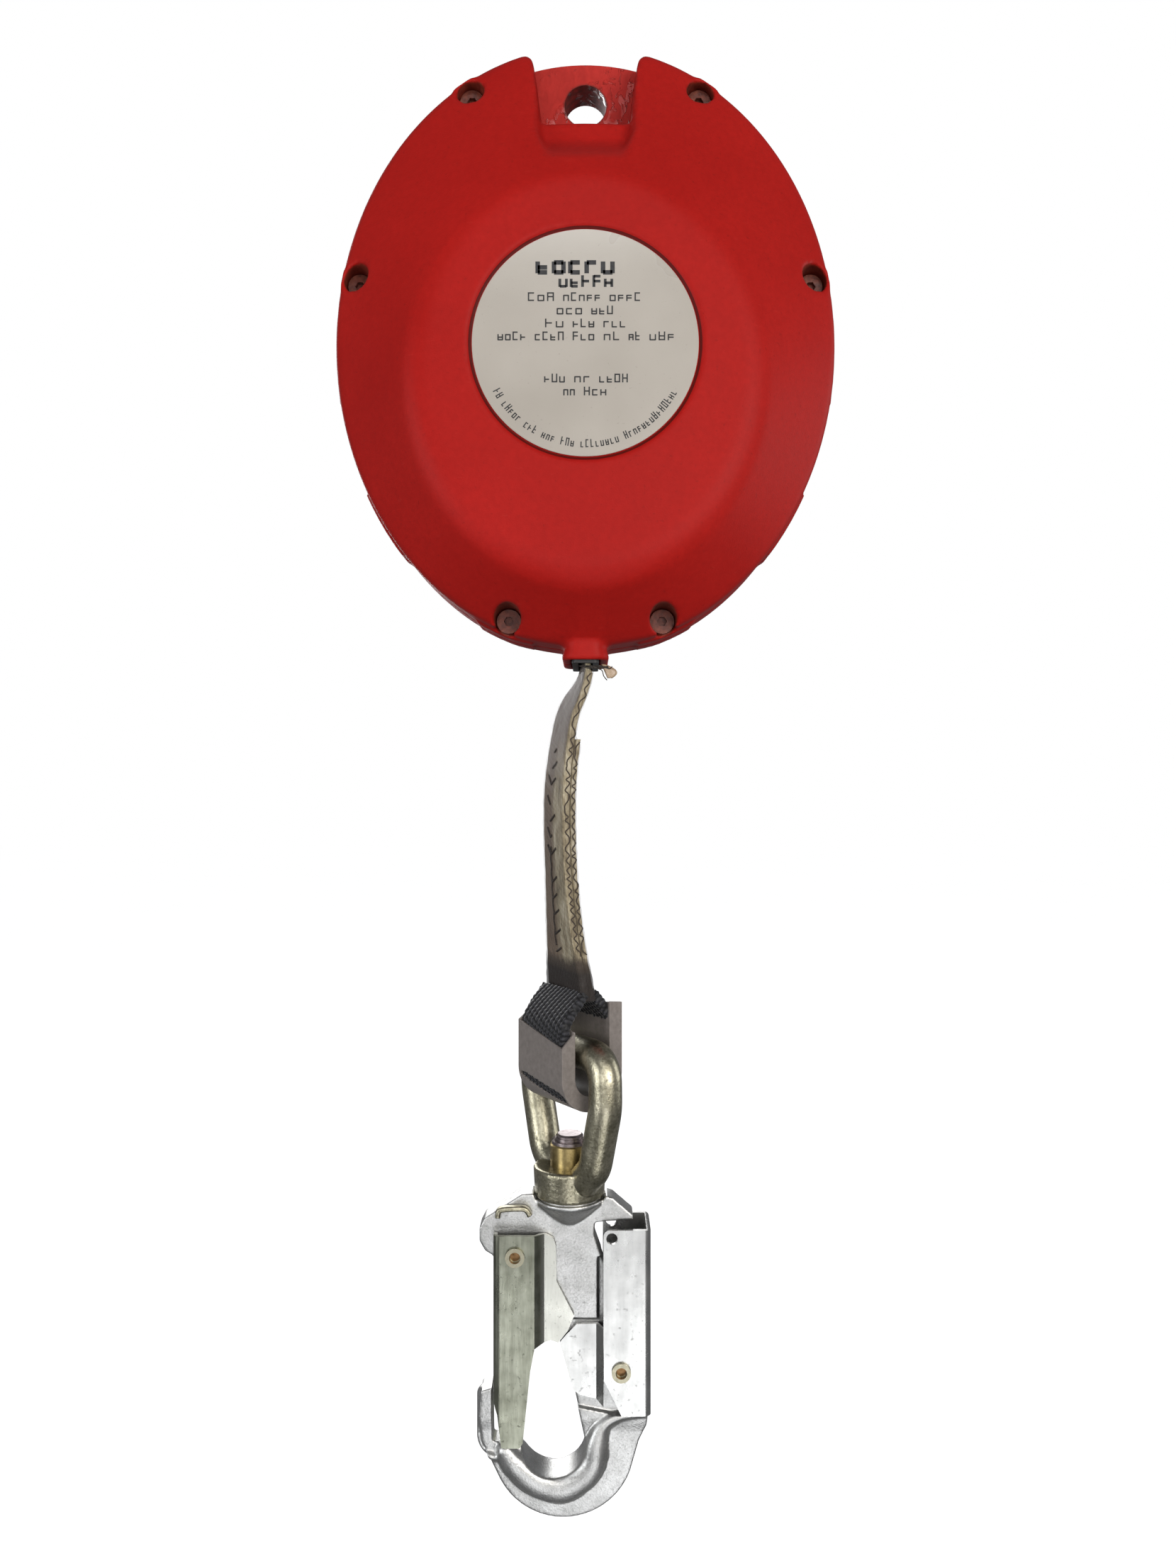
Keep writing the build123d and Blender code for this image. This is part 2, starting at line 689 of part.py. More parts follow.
with BuildPart() as brake_screws:
    with BuildSketch(upright(-15.7)):
        with Locations((0, DRUM_Z)), PolarLocations(BRAKE_SCREW_CIRCLE, BRAKE_SCREW_COUNT):
            Circle(2)
    extrude(amount=OUTSIDE_Y - 15.7)
    with BuildSketch(upright(-OUTSIDE_Y)):
        with Locations((0, DRUM_Z)), PolarLocations(BRAKE_SCREW_CIRCLE, BRAKE_SCREW_COUNT):
            Circle(3.2)
    extrude(amount=1.8)
finish(brake_screws, "brake_screws")


with BuildSketch() as pawl_outline:
    with BuildLine():
        Polyline(
            (PAWL_PIVOT_CIRCLE - 5, 2),
            (PAWL_PIVOT_CIRCLE + 5, 2),
            (29.0, 10.5),
            (23.0, 13.5),
            close=True,
        )
    make_face()
    with Locations((PAWL_PIVOT_CIRCLE, 0)):
        Circle(5)
        Circle(PAWL_PIN_RADIUS + RUNNING_GAP, mode=Mode.SUBTRACT)


def pawl(turn):
    """A ratchet pawl that swings out when the drum spins fast. turn places it round the drum."""
    with BuildPart() as body:
        with BuildSketch(upright(PAWL_NEAR_Y)):
            with Locations(Location((0, DRUM_Z), turn)):
                add(pawl_outline.sketch)
        extrude(amount=-(PAWL_FAR_Y - PAWL_NEAR_Y))
    return body


right_pawl = pawl(0)
left_pawl = pawl(180)
finish(right_pawl, "right_pawl")
finish(left_pawl, "left_pawl")

with BuildPart() as pawl_pins:
    with BuildSketch(upright(PAWL_NEAR_Y - 1.4)):
        with Locations((0, DRUM_Z)), PolarLocations(PAWL_PIVOT_CIRCLE, 2):
            Circle(PAWL_PIN_RADIUS)
    extrude(amount=-(-FLANGE_GAP_HALF - PAWL_NEAR_Y + 1.4))
    with BuildSketch(upright(PAWL_NEAR_Y - 1.4)):
        with Locations((0, DRUM_Z)), PolarLocations(PAWL_PIVOT_CIRCLE, 2):
            Circle(PAWL_PIN_RADIUS + 1.2)
    extrude(amount=-1.1)
finish(pawl_pins, "pawl_pins")

with BuildPart() as pawl_springs:
    with BuildSketch(upright(-17.9)):
        with Locations((0, DRUM_Z)), PolarLocations(PAWL_PIVOT_CIRCLE, 2):
            Circle(4.4)
            Circle(PAWL_PIN_RADIUS, mode=Mode.SUBTRACT)
    extrude(amount=-2.4)
finish(pawl_springs, "pawl_springs")


# ---------------------------------------------------------------- webbing

ROLLER_X = ROLLER_RADIUS + 1
BEND_RADIUS = ROLLER_RADIUS + 1
COIL_PATH_RADIUS = COIL_RADIUS + WEB_THICKNESS / 2 + 0.35
LEAD_END_Z = -180.0

# the hanging webbing as (z, x, yaw), from the exit down to the loop; its tail is sewn on from TAIL_START
WEB_CURVE = [
    (-180.0, 0.0, 0.0),
    (-190.0, -0.6, 7.0),
    (-198.0, -4.2, 15.0),
    (-206.5, -7.2, 15.0),
    (-225.0, -9.8, 16.5),
    (-241.0, -10.2, 17.0),
    (-259.0, -9.6, 17.5),
    (-278.0, -8.3, 22.0),
    (SLEEVE_END_Z, LINE_X, LOOP_YAW),
]
TAIL_START = 3


def lead_path():
    """From the coil's tangent point, round the right guide roller and down to the exit."""
    reach = Vector(ROLLER_X, ROLLER_Z - DRUM_Z)
    lean = asin((COIL_PATH_RADIUS + BEND_RADIUS) / reach.length)
    heading = atan2(reach.Y, reach.X) - lean
    run = sqrt(reach.length**2 - (COIL_PATH_RADIUS + BEND_RADIUS) ** 2)
    side = Vector(-sin(heading), cos(heading))
    start = Vector(0, DRUM_Z) + side * COIL_PATH_RADIUS
    end = start + Vector(cos(heading), sin(heading)) * run
    return start, end, heading


start_point, roller_point, lead_heading = lead_path()


def web_section(z, x, yaw, thickness, width, shift):
    """The webbing's cross-section at one height, turned by yaw and moved through its thickness."""
    turn = radians(yaw)
    origin = (x + shift * cos(turn), shift * sin(turn), z)
    plane = Plane(origin=origin, x_dir=(cos(turn), sin(turn), 0), z_dir=(0, 0, 1))
    with BuildSketch(plane) as section:
        Rectangle(thickness, width)
    return section.sketch


def strap(stations, thickness, width, shift):
    """A strap lofted straight from station to station."""
    with BuildPart() as body:
        for z, x, yaw in stations:
            add(web_section(z, x, yaw, thickness, width, shift))
        loft(ruled=True)
    return body


def loop_line(radius, foot):
    """The U of the loop at one radius, as a closed outline that ends in two feet at the sleeve."""
    shoulder = BAR_Z + 8.0
    with BuildSketch() as outline:
        with BuildLine():
            Polyline(
                (-radius, LOOP_Z),
                (-radius, shoulder),
                (-foot, SLEEVE_END_Z),
                (foot, SLEEVE_END_Z),
                (radius, shoulder),
                (radius, LOOP_Z),
            )
            RadiusArc((radius, LOOP_Z), (-radius, LOOP_Z), radius)
        make_face()
    return outline.sketch


COVER_INNER = LOOP_INNER_RADIUS + THIMBLE_WALL
COVER_OUTER = COVER_INNER + LOOP_COVER_THICKNESS
WEB_INNER = COVER_INNER + (LOOP_COVER_THICKNESS - WEB_THICKNESS) / 2
WEB_OUTER = WEB_INNER + WEB_THICKNESS
COVER_FEET = 2.75
WEB_FEET = 1.95
COVER_CROTCH = 4.6
WEB_CROTCH = 2.4


def loop_ring(outer, inner, foot, crotch, width):
    """A strap of even thickness round the loop, pinched together below the sleeve."""
    with BuildPart() as body:
        with BuildSketch(across_loop(-width / 2)):
            add(loop_line(outer, foot))
            with BuildLine():
                Polyline(
                    (-inner, LOOP_Z),
                    (-inner, BAR_Z + 7.0),
                    (0, SLEEVE_END_Z - crotch),
                    (inner, BAR_Z + 7.0),
                    (inner, LOOP_Z),
                )
                RadiusArc((inner, LOOP_Z), (-inner, LOOP_Z), inner)
            make_face(mode=Mode.SUBTRACT)
        extrude(amount=width)
    return body


with BuildPart() as webbing_lead:
    with BuildLine() as lead:
        first = (start_point.X, 0, start_point.Y)
        bend = (roller_point.X, 0, roller_point.Y)
        Line(first, bend)
        TangentArc(bend, (0, 0, ROLLER_Z), tangent=(cos(lead_heading), 0, sin(lead_heading)))
        Line((0, 0, ROLLER_Z), (0, 0, LEAD_END_Z))
    with BuildSketch(Plane(origin=lead.line @ 0, x_dir=(0, 1, 0), z_dir=lead.line % 0)):
        Rectangle(WEB_WIDTH, WEB_THICKNESS)
    sweep()
finish(webbing_lead, "webbing_lead")

with BuildPart() as line_webbing:
    add(strap(WEB_CURVE, WEB_THICKNESS, WEB_WIDTH, 0).part)
    add(strap(WEB_CURVE[TAIL_START:], WEB_THICKNESS, WEB_WIDTH, WEB_THICKNESS).part)
    add(loop_ring(WEB_OUTER, WEB_INNER, WEB_FEET, WEB_CROTCH, WEB_WIDTH).part)
finish(line_webbing, "line_webbing")

SLEEVE_WALL = 0.6
SLEEVE_FIT = 0.1
single_stations = [WEB_CURVE[1], WEB_CURVE[2], WEB_CURVE[3]]

with BuildPart() as shrink_sleeve:
    add(strap(single_stations, WEB_THICKNESS + 2 * SLEEVE_WALL, WEB_WIDTH + 2 * SLEEVE_WALL, 0).part)
    doubled = 2 * WEB_THICKNESS + 2 * SLEEVE_WALL
    add(strap(WEB_CURVE[TAIL_START:], doubled, WEB_WIDTH + 2 * SLEEVE_WALL, WEB_THICKNESS / 2).part)
    bore = (WEB_THICKNESS + SLEEVE_FIT, WEB_WIDTH + SLEEVE_FIT)
    add(strap(WEB_CURVE, *bore, 0).part, mode=Mode.SUBTRACT)
    tail_cut = strap(WEB_CURVE[TAIL_START:], *bore, WEB_THICKNESS)
    add(tail_cut.part, mode=Mode.SUBTRACT)
finish(shrink_sleeve, "shrink_sleeve")

with BuildPart() as loop_cover:
    add(loop_ring(COVER_OUTER, COVER_INNER, COVER_FEET, COVER_CROTCH, LOOP_WIDTH).part)
    web_space = loop_ring(
        WEB_OUTER + 0.05, WEB_INNER - 0.05, WEB_FEET + 0.05, WEB_CROTCH + 0.1, WEB_WIDTH + 0.1
    )
    add(web_space.part, mode=Mode.SUBTRACT)
    with BuildSketch(across_loop(-WEB_WIDTH / 2)):
        with Locations((0, SLEEVE_END_Z)):
            Rectangle(2 * WEB_THICKNESS + 0.2, 4)
    extrude(amount=WEB_WIDTH, mode=Mode.SUBTRACT)
finish(loop_cover, "loop_cover")

THIMBLE_TOP_Z = BAR_Z + 6.5
THIMBLE_BAND = 0.9
THIMBLE_LIP = COVER_OUTER + 1.6
THIMBLE_FLANGE = 1.0


def thimble_outline(radius):
    """A plain U of one radius about the foot of the loop."""
    with BuildSketch() as outline:
        with BuildLine():
            Polyline(
                (-radius, LOOP_Z),
                (-radius, THIMBLE_TOP_Z),
                (radius, THIMBLE_TOP_Z),
                (radius, LOOP_Z),
            )
            RadiusArc((radius, LOOP_Z), (-radius, LOOP_Z), radius)
        make_face()
    return outline.sketch


with BuildPart() as loop_thimble:
    half = LOOP_WIDTH / 2 + 0.1
    with BuildSketch(across_loop(-half)):
        add(thimble_outline(COVER_INNER - 0.05))
        add(thimble_outline(LOOP_INNER_RADIUS), mode=Mode.SUBTRACT)
    extrude(amount=2 * half)
    for flange_start in (-half - THIMBLE_FLANGE, half):
        with BuildSketch(across_loop(flange_start)):
            add(thimble_outline(THIMBLE_LIP))
            add(thimble_outline(LOOP_INNER_RADIUS), mode=Mode.SUBTRACT)
        extrude(amount=THIMBLE_FLANGE)
    with BuildSketch(across_loop(-half)):
        for middle in (-COVER_OUTER - 0.1 - THIMBLE_BAND / 2, COVER_OUTER + 0.1 + THIMBLE_BAND / 2):
            with Locations((middle, (THIMBLE_TOP_Z + LOOP_Z - 4) / 2)):
                Rectangle(THIMBLE_BAND, THIMBLE_TOP_Z - LOOP_Z + 4)
    extrude(amount=2 * half)
finish(loop_thimble, "loop_thimble")


# ---------------------------------------------------------------- swivel eye

EYE_HALF_TOP = 20.4
EYE_HALF_MIDDLE = 20.8

with BuildPart() as swivel_eye:
    with BuildLine(along_loop()) as ring_line:
        FilletPolyline(
            (-6.0, -362.0),
            (-14.8, -354.0),
            (-EYE_HALF_MIDDLE, -333.0),
            (-EYE_HALF_TOP, BAR_Z),
            (EYE_HALF_TOP, BAR_Z),
            (EYE_HALF_MIDDLE, -333.0),
            (14.8, -354.0),
            (6.0, -362.0),
            radius=[10, 22, 7.5, 7.5, 22, 10],
        )
    with BuildSketch(Plane(origin=ring_line.line @ 0, z_dir=ring_line.line % 0)):
        Circle(BAR_RADIUS)
    sweep()
    with BuildSketch(Plane.XY.offset(EYE_BASE_END_Z)):
        with Locations((LINE_X, 0)):
            Circle(EYE_BASE_RADIUS)
    extrude(amount=EYE_BASE_TOP_Z - EYE_BASE_END_Z, taper=-3)
    with BuildSketch(Plane.XY.offset(EYE_BASE_END_Z - 8)):
        with Locations((LINE_X, 0)):
            Rectangle(40, 40)
    extrude(amount=8, mode=Mode.SUBTRACT)
    with BuildSketch(Plane.XY.offset(EYE_BASE_END_Z - 1)):
        with Locations((LINE_X, 0)):
            Circle(SWIVEL_RADIUS + RUNNING_GAP)
    extrude(amount=30, mode=Mode.SUBTRACT)
    with BuildSketch(Plane.XY.offset(EYE_BASE_TOP_Z)):
        with Locations((LINE_X, 0)):
            Circle(COLLAR_RADIUS + 0.4)
    extrude(amount=14, mode=Mode.SUBTRACT)
finish(swivel_eye, "swivel_eye")


def swivel_turned(outer, inner, low_z, high_z):
    """A turned ring or disc on the swivel axis."""
    with BuildPart() as body:
        with BuildSketch(Plane.XY.offset(low_z)):
            with Locations((LINE_X, 0)):
                Circle(outer)
                if inner > 0:
                    Circle(inner, mode=Mode.SUBTRACT)
        extrude(amount=high_z - low_z)
    return body.part


with BuildPart() as swivel_pin:
    add(swivel_turned(SWIVEL_RADIUS, 0, HOOK_TOP_Z - 6, COLLAR_TOP_Z + 1.0))
    add(swivel_turned(4.6, 0, COLLAR_TOP_Z + 1.0, COLLAR_TOP_Z + 2.2))
    chamfer(swivel_pin.edges().group_by(Axis.Z)[-1], length=0.6)
finish(swivel_pin, "swivel_pin")

with BuildPart() as swivel_collar:
    add(swivel_turned(COLLAR_RADIUS, SWIVEL_RADIUS, EYE_BASE_TOP_Z + 0.15, COLLAR_TOP_Z - 1.0))
    chamfer(swivel_collar.edges().group_by(Axis.Z)[-1], length=0.5)
finish(swivel_collar, "swivel_collar")

with BuildPart() as swivel_cap_washer:
    add(swivel_turned(COLLAR_RADIUS - 0.4, SWIVEL_RADIUS, COLLAR_TOP_Z - 1.0, COLLAR_TOP_Z))
finish(swivel_cap_washer, "swivel_cap_washer")

with BuildPart() as swivel_washer:
    add(swivel_turned(10.4, SWIVEL_RADIUS, HOOK_TOP_Z, EYE_BASE_END_Z - 0.15))
finish(swivel_washer, "swivel_washer")


# ---------------------------------------------------------------- hook body

BEAD_RADIUS = 5.4
LATCH_BED_HALF = 3.0
NOSE_RADIUS = 2.8

with BuildSketch() as hook_outline:
    with BuildLine():
        Polyline(
            (-2.4, -414.2),
            (0.6, -407.0),
            (-3.5, -402.0),
            (-7.5, -392.5),
            (-13.0, -392.0),
            (-18.1, -393.5),
            (-24.0, -390.5),
            (-25.9, -385.6),
            (-28.4, -384.2),
            (-30.3, -380.8),
            (-30.3, -376.4),
            (-28.6, -373.2),
            (-16.2, -365.2),
            (-12.0, -365.0),
            (-11.0, -368.6),
            (11.0, -368.6),
            (12.0, -365.6),
            (14.6, -366.4),
            (21.4, -372.2),
            (21.4, -373.6),
            (8.6, -374.6),
            (8.4, -379.0),
            (11.6, -388.0),
            (20.0, -396.0),
            (22.4, -420.0),
            (24.6, -438.2),
            (26.4, -439.6),
            (26.0, -443.0),
            (23.4, -448.3),
            (20.5, -458.4),
        )
        ThreePointArc((20.5, -458.4), (-1.2, -474.2), (-23.6, -461.0))
        Line((-23.6, -461.0), (-29.4, -449.0))
        Line((-29.4, -449.0), (-30.6, -440.0))
        Line((-30.6, -440.0), (-29.8, -431.4))
        Line((-29.8, -431.4), (-26.2, -430.4))
        Line((-26.2, -430.4), (-25.8, -448.6))
        Line((-25.8, -448.6), (-16.3, -449.6))
        ThreePointArc((-16.3, -449.6), (-5.3, -459.7), (5.4, -449.4))
        Line((5.4, -449.4), (1.6, -431.0))
        Line((1.6, -431.0), (-2.4, -414.2))
    make_face()

with BuildSketch() as latch_bed:
    with BuildLine():
        Polyline(
            (-9, -407.0),
            (9.4, -407.0),
            (9.4, -386.0),
            (30.0, -386.0),
            (30.0, -439.0),
            (14.0, -439.0),
            (1.0, -436.4),
            close=True,
        )
    make_face()

NOSE_LINE = [(-28.7, -434.0), (-28.7, -450.0), (-21.4, -457.0)]
NOSE_CORNERS = [5.0]
BEND_LINE = [
    (-20.6, -455.0),
    (-16.0, -463.2),
    (-5.4, -466.8),
    (6.0, -463.0),
    (12.6, -453.0),
    (20.2, -444.2),
]
BEND_CORNERS = [10.0, 14.0, 12.0, 12.0]


def bead(points, corners, radius):
    """A round bead along the hook, with a rounded start and end."""
    with BuildPart() as rod:
        with BuildLine(hook_plane(0)) as line:
            FilletPolyline(*points, radius=corners)
        with BuildSketch(Plane(origin=line.line @ 0, z_dir=line.line % 0)):
            Circle(radius)
        sweep()
        for end in (line.line @ 0, line.line @ 1):
            with Locations(end):
                Sphere(radius)
    return rod


with BuildPart() as hook_body:
    with BuildSketch(hook_plane(-HOOK_HALF_THICKNESS)):
        add(hook_outline.sketch)
    extrude(amount=-2 * HOOK_HALF_THICKNESS)
    for bed_y in (-CHANNEL_HALF, LATCH_BED_HALF):
        with BuildSketch(hook_plane(bed_y)):
            add(latch_bed.sketch)
        extrude(amount=-(CHANNEL_HALF - LATCH_BED_HALF), mode=Mode.SUBTRACT)
    with BuildSketch(hook_plane(0)):
        with BuildLine():
            Line((0, HOOK_TOP_Z), (11.6, HOOK_TOP_Z))
            Line((11.6, HOOK_TOP_Z), (11.6, HOOK_TOP_Z - 1.2))
            Line((11.6, HOOK_TOP_Z - 1.2), (4.2, HOOK_TOP_Z - 8.6))
            Line((4.2, HOOK_TOP_Z - 8.6), (0, HOOK_TOP_Z - 8.6))
            Line((0, HOOK_TOP_Z - 8.6), (0, HOOK_TOP_Z))
        make_face()
    revolve(axis=Axis((LINE_X, 0, 0), (0, 0, 1)))
    add(bead(NOSE_LINE, NOSE_CORNERS, NOSE_RADIUS).part)
    add(bead(BEND_LINE, BEND_CORNERS, BEAD_RADIUS).part)
    with BuildSketch(hook_plane(-CHANNEL_HALF - 1)):
        with Locations(GATE_RIVET, LEVER_RIVET):
            Circle(RIVET_RADIUS)
    extrude(amount=-30, mode=Mode.SUBTRACT)
    with BuildSketch(Plane.XY.offset(HOOK_TOP_Z)):
        with Locations((LINE_X, 0)):
            Circle(SWIVEL_RADIUS)
    extrude(amount=-6, mode=Mode.SUBTRACT)
finish(hook_body, "hook_body")


# ---------------------------------------------------------------- gate and lock lever

GATE_SPINE = -25.4
GATE_PLATE_EDGE = -11.6
GATE_WING_START = -8.4
GATE_WING_Y = 6.1
LEVER_SPINE = 27.2
LEVER_PLATE_EDGE = 11.4
LEVER_WING_START = 9.0
LEVER_WING_Y = 4.5


def folded_channel(spine, edge, length, top_z):
    """A U-shaped channel of sheet: a spine and two cheeks that reach to edge."""
    inward = SHEET if edge > spine else -SHEET
    with BuildPart() as channel:
        with BuildSketch(Plane.XY.offset(top_z)):
            with BuildLine():
                Polyline(
                    (LINE_X + edge, -CHANNEL_HALF),
                    (LINE_X + spine, -CHANNEL_HALF),
                    (LINE_X + spine, CHANNEL_HALF),
                    (LINE_X + edge, CHANNEL_HALF),
                    (LINE_X + edge, CHANNEL_HALF - SHEET),
                    (LINE_X + spine + inward, CHANNEL_HALF - SHEET),
                    (LINE_X + spine + inward, -CHANNEL_HALF + SHEET),
                    (LINE_X + edge, -CHANNEL_HALF + SHEET),
                    close=True,
                )
            make_face()
        extrude(amount=-length)
        corners = channel.edges().filter_by(Axis.Z).group_by(Axis.X)[0 if inward > 0 else -1]
        fillet(corners, radius=2.2)
    return channel


def folded_wings(edge, start, end, wing_y, length, top_z):
    """The stepped wings that lie beside the hook's web, one on each side."""
    with BuildPart() as wings:
        with BuildSketch(Plane.XY.offset(top_z)):
            with BuildLine():
                Polyline(
                    (LINE_X + edge, -CHANNEL_HALF),
                    (LINE_X + start, -wing_y),
                    (LINE_X + end, -wing_y),
                    (LINE_X + end, -wing_y + SHEET - 0.2),
                    (LINE_X + start - (start - edge) * 0.2, -wing_y + SHEET - 0.2),
                    (LINE_X + edge, -CHANNEL_HALF + SHEET),
                    close=True,
                )
            make_face()
            mirror(about=Plane.XZ)
        extrude(amount=-length)
    return wings


with BuildSketch() as gate_channel_outline:
    with BuildLine():
        Polyline(
            (-26.4, -377.6),
            (GATE_PLATE_EDGE, -377.6),
            (GATE_PLATE_EDGE, -415.2),
            (-13.0, -422.5),
            (-15.5, -446.4),
            (-16.6, -448.1),
            (-22.6, -448.1),
            (-24.0, -437.0),
            (-26.4, -430.0),
            close=True,
        )
    make_face()

with BuildSketch() as gate_wing_outline:
    with BuildLine():
        Polyline(
            (GATE_PLATE_EDGE - 0.2, -377.6),
            (-8.0, -377.8),
            (-5.4, -379.2),
            (-4.5, -382.0),
            (-4.3, -393.8),
            (1.6, -405.3),
            (-0.6, -410.4),
            (-3.8, -414.2),
            (-6.2, -413.3),
            (GATE_PLATE_EDGE - 0.2, -415.2),
            close=True,
        )
    make_face()

with BuildPart() as gate:
    channel = folded_channel(GATE_SPINE, GATE_PLATE_EDGE, 75, -375.0)
    add(channel.part)
    with BuildSketch(hook_plane(-20)):
        add(gate_channel_outline.sketch)
    extrude(amount=-40, mode=Mode.INTERSECT)
    with BuildPart(mode=Mode.PRIVATE) as trimmed_wings:
        add(folded_wings(GATE_PLATE_EDGE, GATE_WING_START, 4.0, GATE_WING_Y, 45, -375.0).part)
        with BuildSketch(hook_plane(-20)):
            add(gate_wing_outline.sketch)
        extrude(amount=-40, mode=Mode.INTERSECT)
    add(trimmed_wings.part)
    with BuildSketch(hook_plane(-5.2)):
        with Locations((-27.0, -380.0)):
            Rectangle(10, 32)
    extrude(amount=-10.4, mode=Mode.SUBTRACT)
    with BuildSketch(hook_plane(-20)):
        with Locations(GATE_RIVET):
            Circle(RIVET_RADIUS + RUNNING_GAP)
    extrude(amount=-40, mode=Mode.SUBTRACT)
finish(gate, "gate")

with BuildSketch() as lever_channel_outline:
    with BuildLine():
        Polyline(
            (LEVER_PLATE_EDGE, -375.6),
            (28.0, -375.6),
            (28.0, -437.4),
            (17.4, -437.4),
            (11.6, -425.6),
            (LEVER_PLATE_EDGE, -413.0),
            close=True,
        )
    make_face()
    fillet(lever_channel_outline.vertices().group_by(Axis.Y)[-1], radius=2.0)

with BuildSketch() as lever_wing_outline:
    with BuildLine():
        Polyline(
            (LEVER_PLATE_EDGE + 0.2, -408.4),
            (8.0, -408.6),
            (2.4, -408.8),
            (-1.0, -412.2),
            (-3.2, -414.8),
            (1.2, -430.8),
            (3.4, -432.5),
            (12.4, -434.6),
            (15.6, -435.4),
            (LEVER_PLATE_EDGE + 0.2, -425.6),
            close=True,
        )
    make_face()

with BuildPart() as lock_lever:
    lever_channel = folded_channel(LEVER_SPINE, LEVER_PLATE_EDGE, 70, -373.0)
    add(lever_channel.part)
    with BuildSketch(hook_plane(-20)):
        add(lever_channel_outline.sketch)
    extrude(amount=-40, mode=Mode.INTERSECT)
    with BuildPart(mode=Mode.PRIVATE) as trimmed_lever_wings:
        add(folded_wings(LEVER_PLATE_EDGE, LEVER_WING_START, -6.0, LEVER_WING_Y, 36, -404.0).part)
        with BuildSketch(hook_plane(-20)):
            add(lever_wing_outline.sketch)
        extrude(amount=-40, mode=Mode.INTERSECT)
    add(trimmed_lever_wings.part)
    with BuildSketch(hook_plane(-20)):
        with Locations(LEVER_RIVET):
            Circle(RIVET_RADIUS + RUNNING_GAP)
        with Locations((14.2, -378.4)):
            Circle(1.9)
    extrude(amount=-40, mode=Mode.SUBTRACT)
finish(lock_lever, "lock_lever")


def hook_rivet(place):
    """A tubular rivet through both cheeks of a channel and the hook between them."""
    with BuildPart() as rivet:
        with BuildSketch(hook_plane(-CHANNEL_HALF - 0.2)):
            with Locations(place):
                Circle(RIVET_RADIUS)
        extrude(amount=-2 * CHANNEL_HALF - 0.4)
        for head_y in (-CHANNEL_HALF - 0.9, CHANNEL_HALF + 0.1):
            with BuildSketch(hook_plane(head_y)):
                with Locations(place):
                    Circle(RIVET_RADIUS + 0.7)
            extrude(amount=-0.8)
        for bore_y in (-CHANNEL_HALF - 1, CHANNEL_HALF - 1):
            with BuildSketch(hook_plane(bore_y)):
                with Locations(place):
                    Circle(RIVET_RADIUS - 0.6)
            extrude(amount=-2, mode=Mode.SUBTRACT)
    return rivet


gate_rivet = hook_rivet(GATE_RIVET)
lever_rivet = hook_rivet(LEVER_RIVET)
finish(gate_rivet, "gate_rivet")
finish(lever_rivet, "lever_rivet")

WIRE_RADIUS = 0.4
SPRING_COIL_RADIUS = 3.6


def torsion_spring(place, start_y):
    """A small torsion spring round a rivet, between the hook and a channel's cheek."""
    with BuildPart() as spring:
        with BuildLine() as coil:
            Helix(
                pitch=0.95,
                height=1.9,
                radius=SPRING_COIL_RADIUS,
                center=(LINE_X + place[0], start_y, place[1]),
                direction=(0, 1, 0),
            )
        with BuildSketch(Plane(origin=coil.line @ 0, z_dir=coil.line % 0)):
            Circle(WIRE_RADIUS)
        sweep()
    return spring


gate_spring = torsion_spring(GATE_RIVET, HOOK_HALF_THICKNESS + 0.5)
lever_spring = torsion_spring(LEVER_RIVET, HOOK_HALF_THICKNESS + 0.55)
finish(gate_spring, "gate_spring")
finish(lever_spring, "lever_spring")
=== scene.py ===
# %% [markdown]
# # A self retracting lifeline
# A webbing retractor hangs from the hole at its top, between two red covers. The webbing leaves a
# small lip at the bottom, and ends in a sewn loop, a swivel eye and a double-action snap hook.
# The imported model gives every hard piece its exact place, so it is loaded first and never moved.

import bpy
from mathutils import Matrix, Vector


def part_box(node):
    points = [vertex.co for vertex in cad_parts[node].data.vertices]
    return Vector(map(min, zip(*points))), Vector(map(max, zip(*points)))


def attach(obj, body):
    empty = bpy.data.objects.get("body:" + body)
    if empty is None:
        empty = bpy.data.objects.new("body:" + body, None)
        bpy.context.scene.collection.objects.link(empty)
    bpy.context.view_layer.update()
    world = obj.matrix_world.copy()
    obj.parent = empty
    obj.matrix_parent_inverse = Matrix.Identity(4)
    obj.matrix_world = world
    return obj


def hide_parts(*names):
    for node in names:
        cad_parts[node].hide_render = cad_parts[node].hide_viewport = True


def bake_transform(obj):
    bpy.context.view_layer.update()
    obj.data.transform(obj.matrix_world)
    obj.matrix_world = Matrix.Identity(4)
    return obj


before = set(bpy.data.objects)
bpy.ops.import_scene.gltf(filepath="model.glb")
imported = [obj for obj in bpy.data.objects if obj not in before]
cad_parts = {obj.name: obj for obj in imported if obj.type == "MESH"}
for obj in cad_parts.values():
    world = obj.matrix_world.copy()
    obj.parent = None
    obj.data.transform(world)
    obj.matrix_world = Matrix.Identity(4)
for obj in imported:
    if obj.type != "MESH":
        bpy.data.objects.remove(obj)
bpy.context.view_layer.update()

# %% Everything else that the lesson uses
import math
import random

import bmesh
import bpy
from mathutils import Vector

MM = 0.001
scene = bpy.context.scene
scene.view_settings.view_transform = "Standard"

# %% [markdown]
# ## Camera, floor and light
# The camera stands level with the middle of the webbing, a little closer than half a metre, so a
# wide lens is needed and the domed cover shows its front only. The room is a plain pale floor
# under a white sky: the sky is white to look at but gives little light, and soft lamps do the
# rest. Metal needs something to mirror, so the lamps are large.

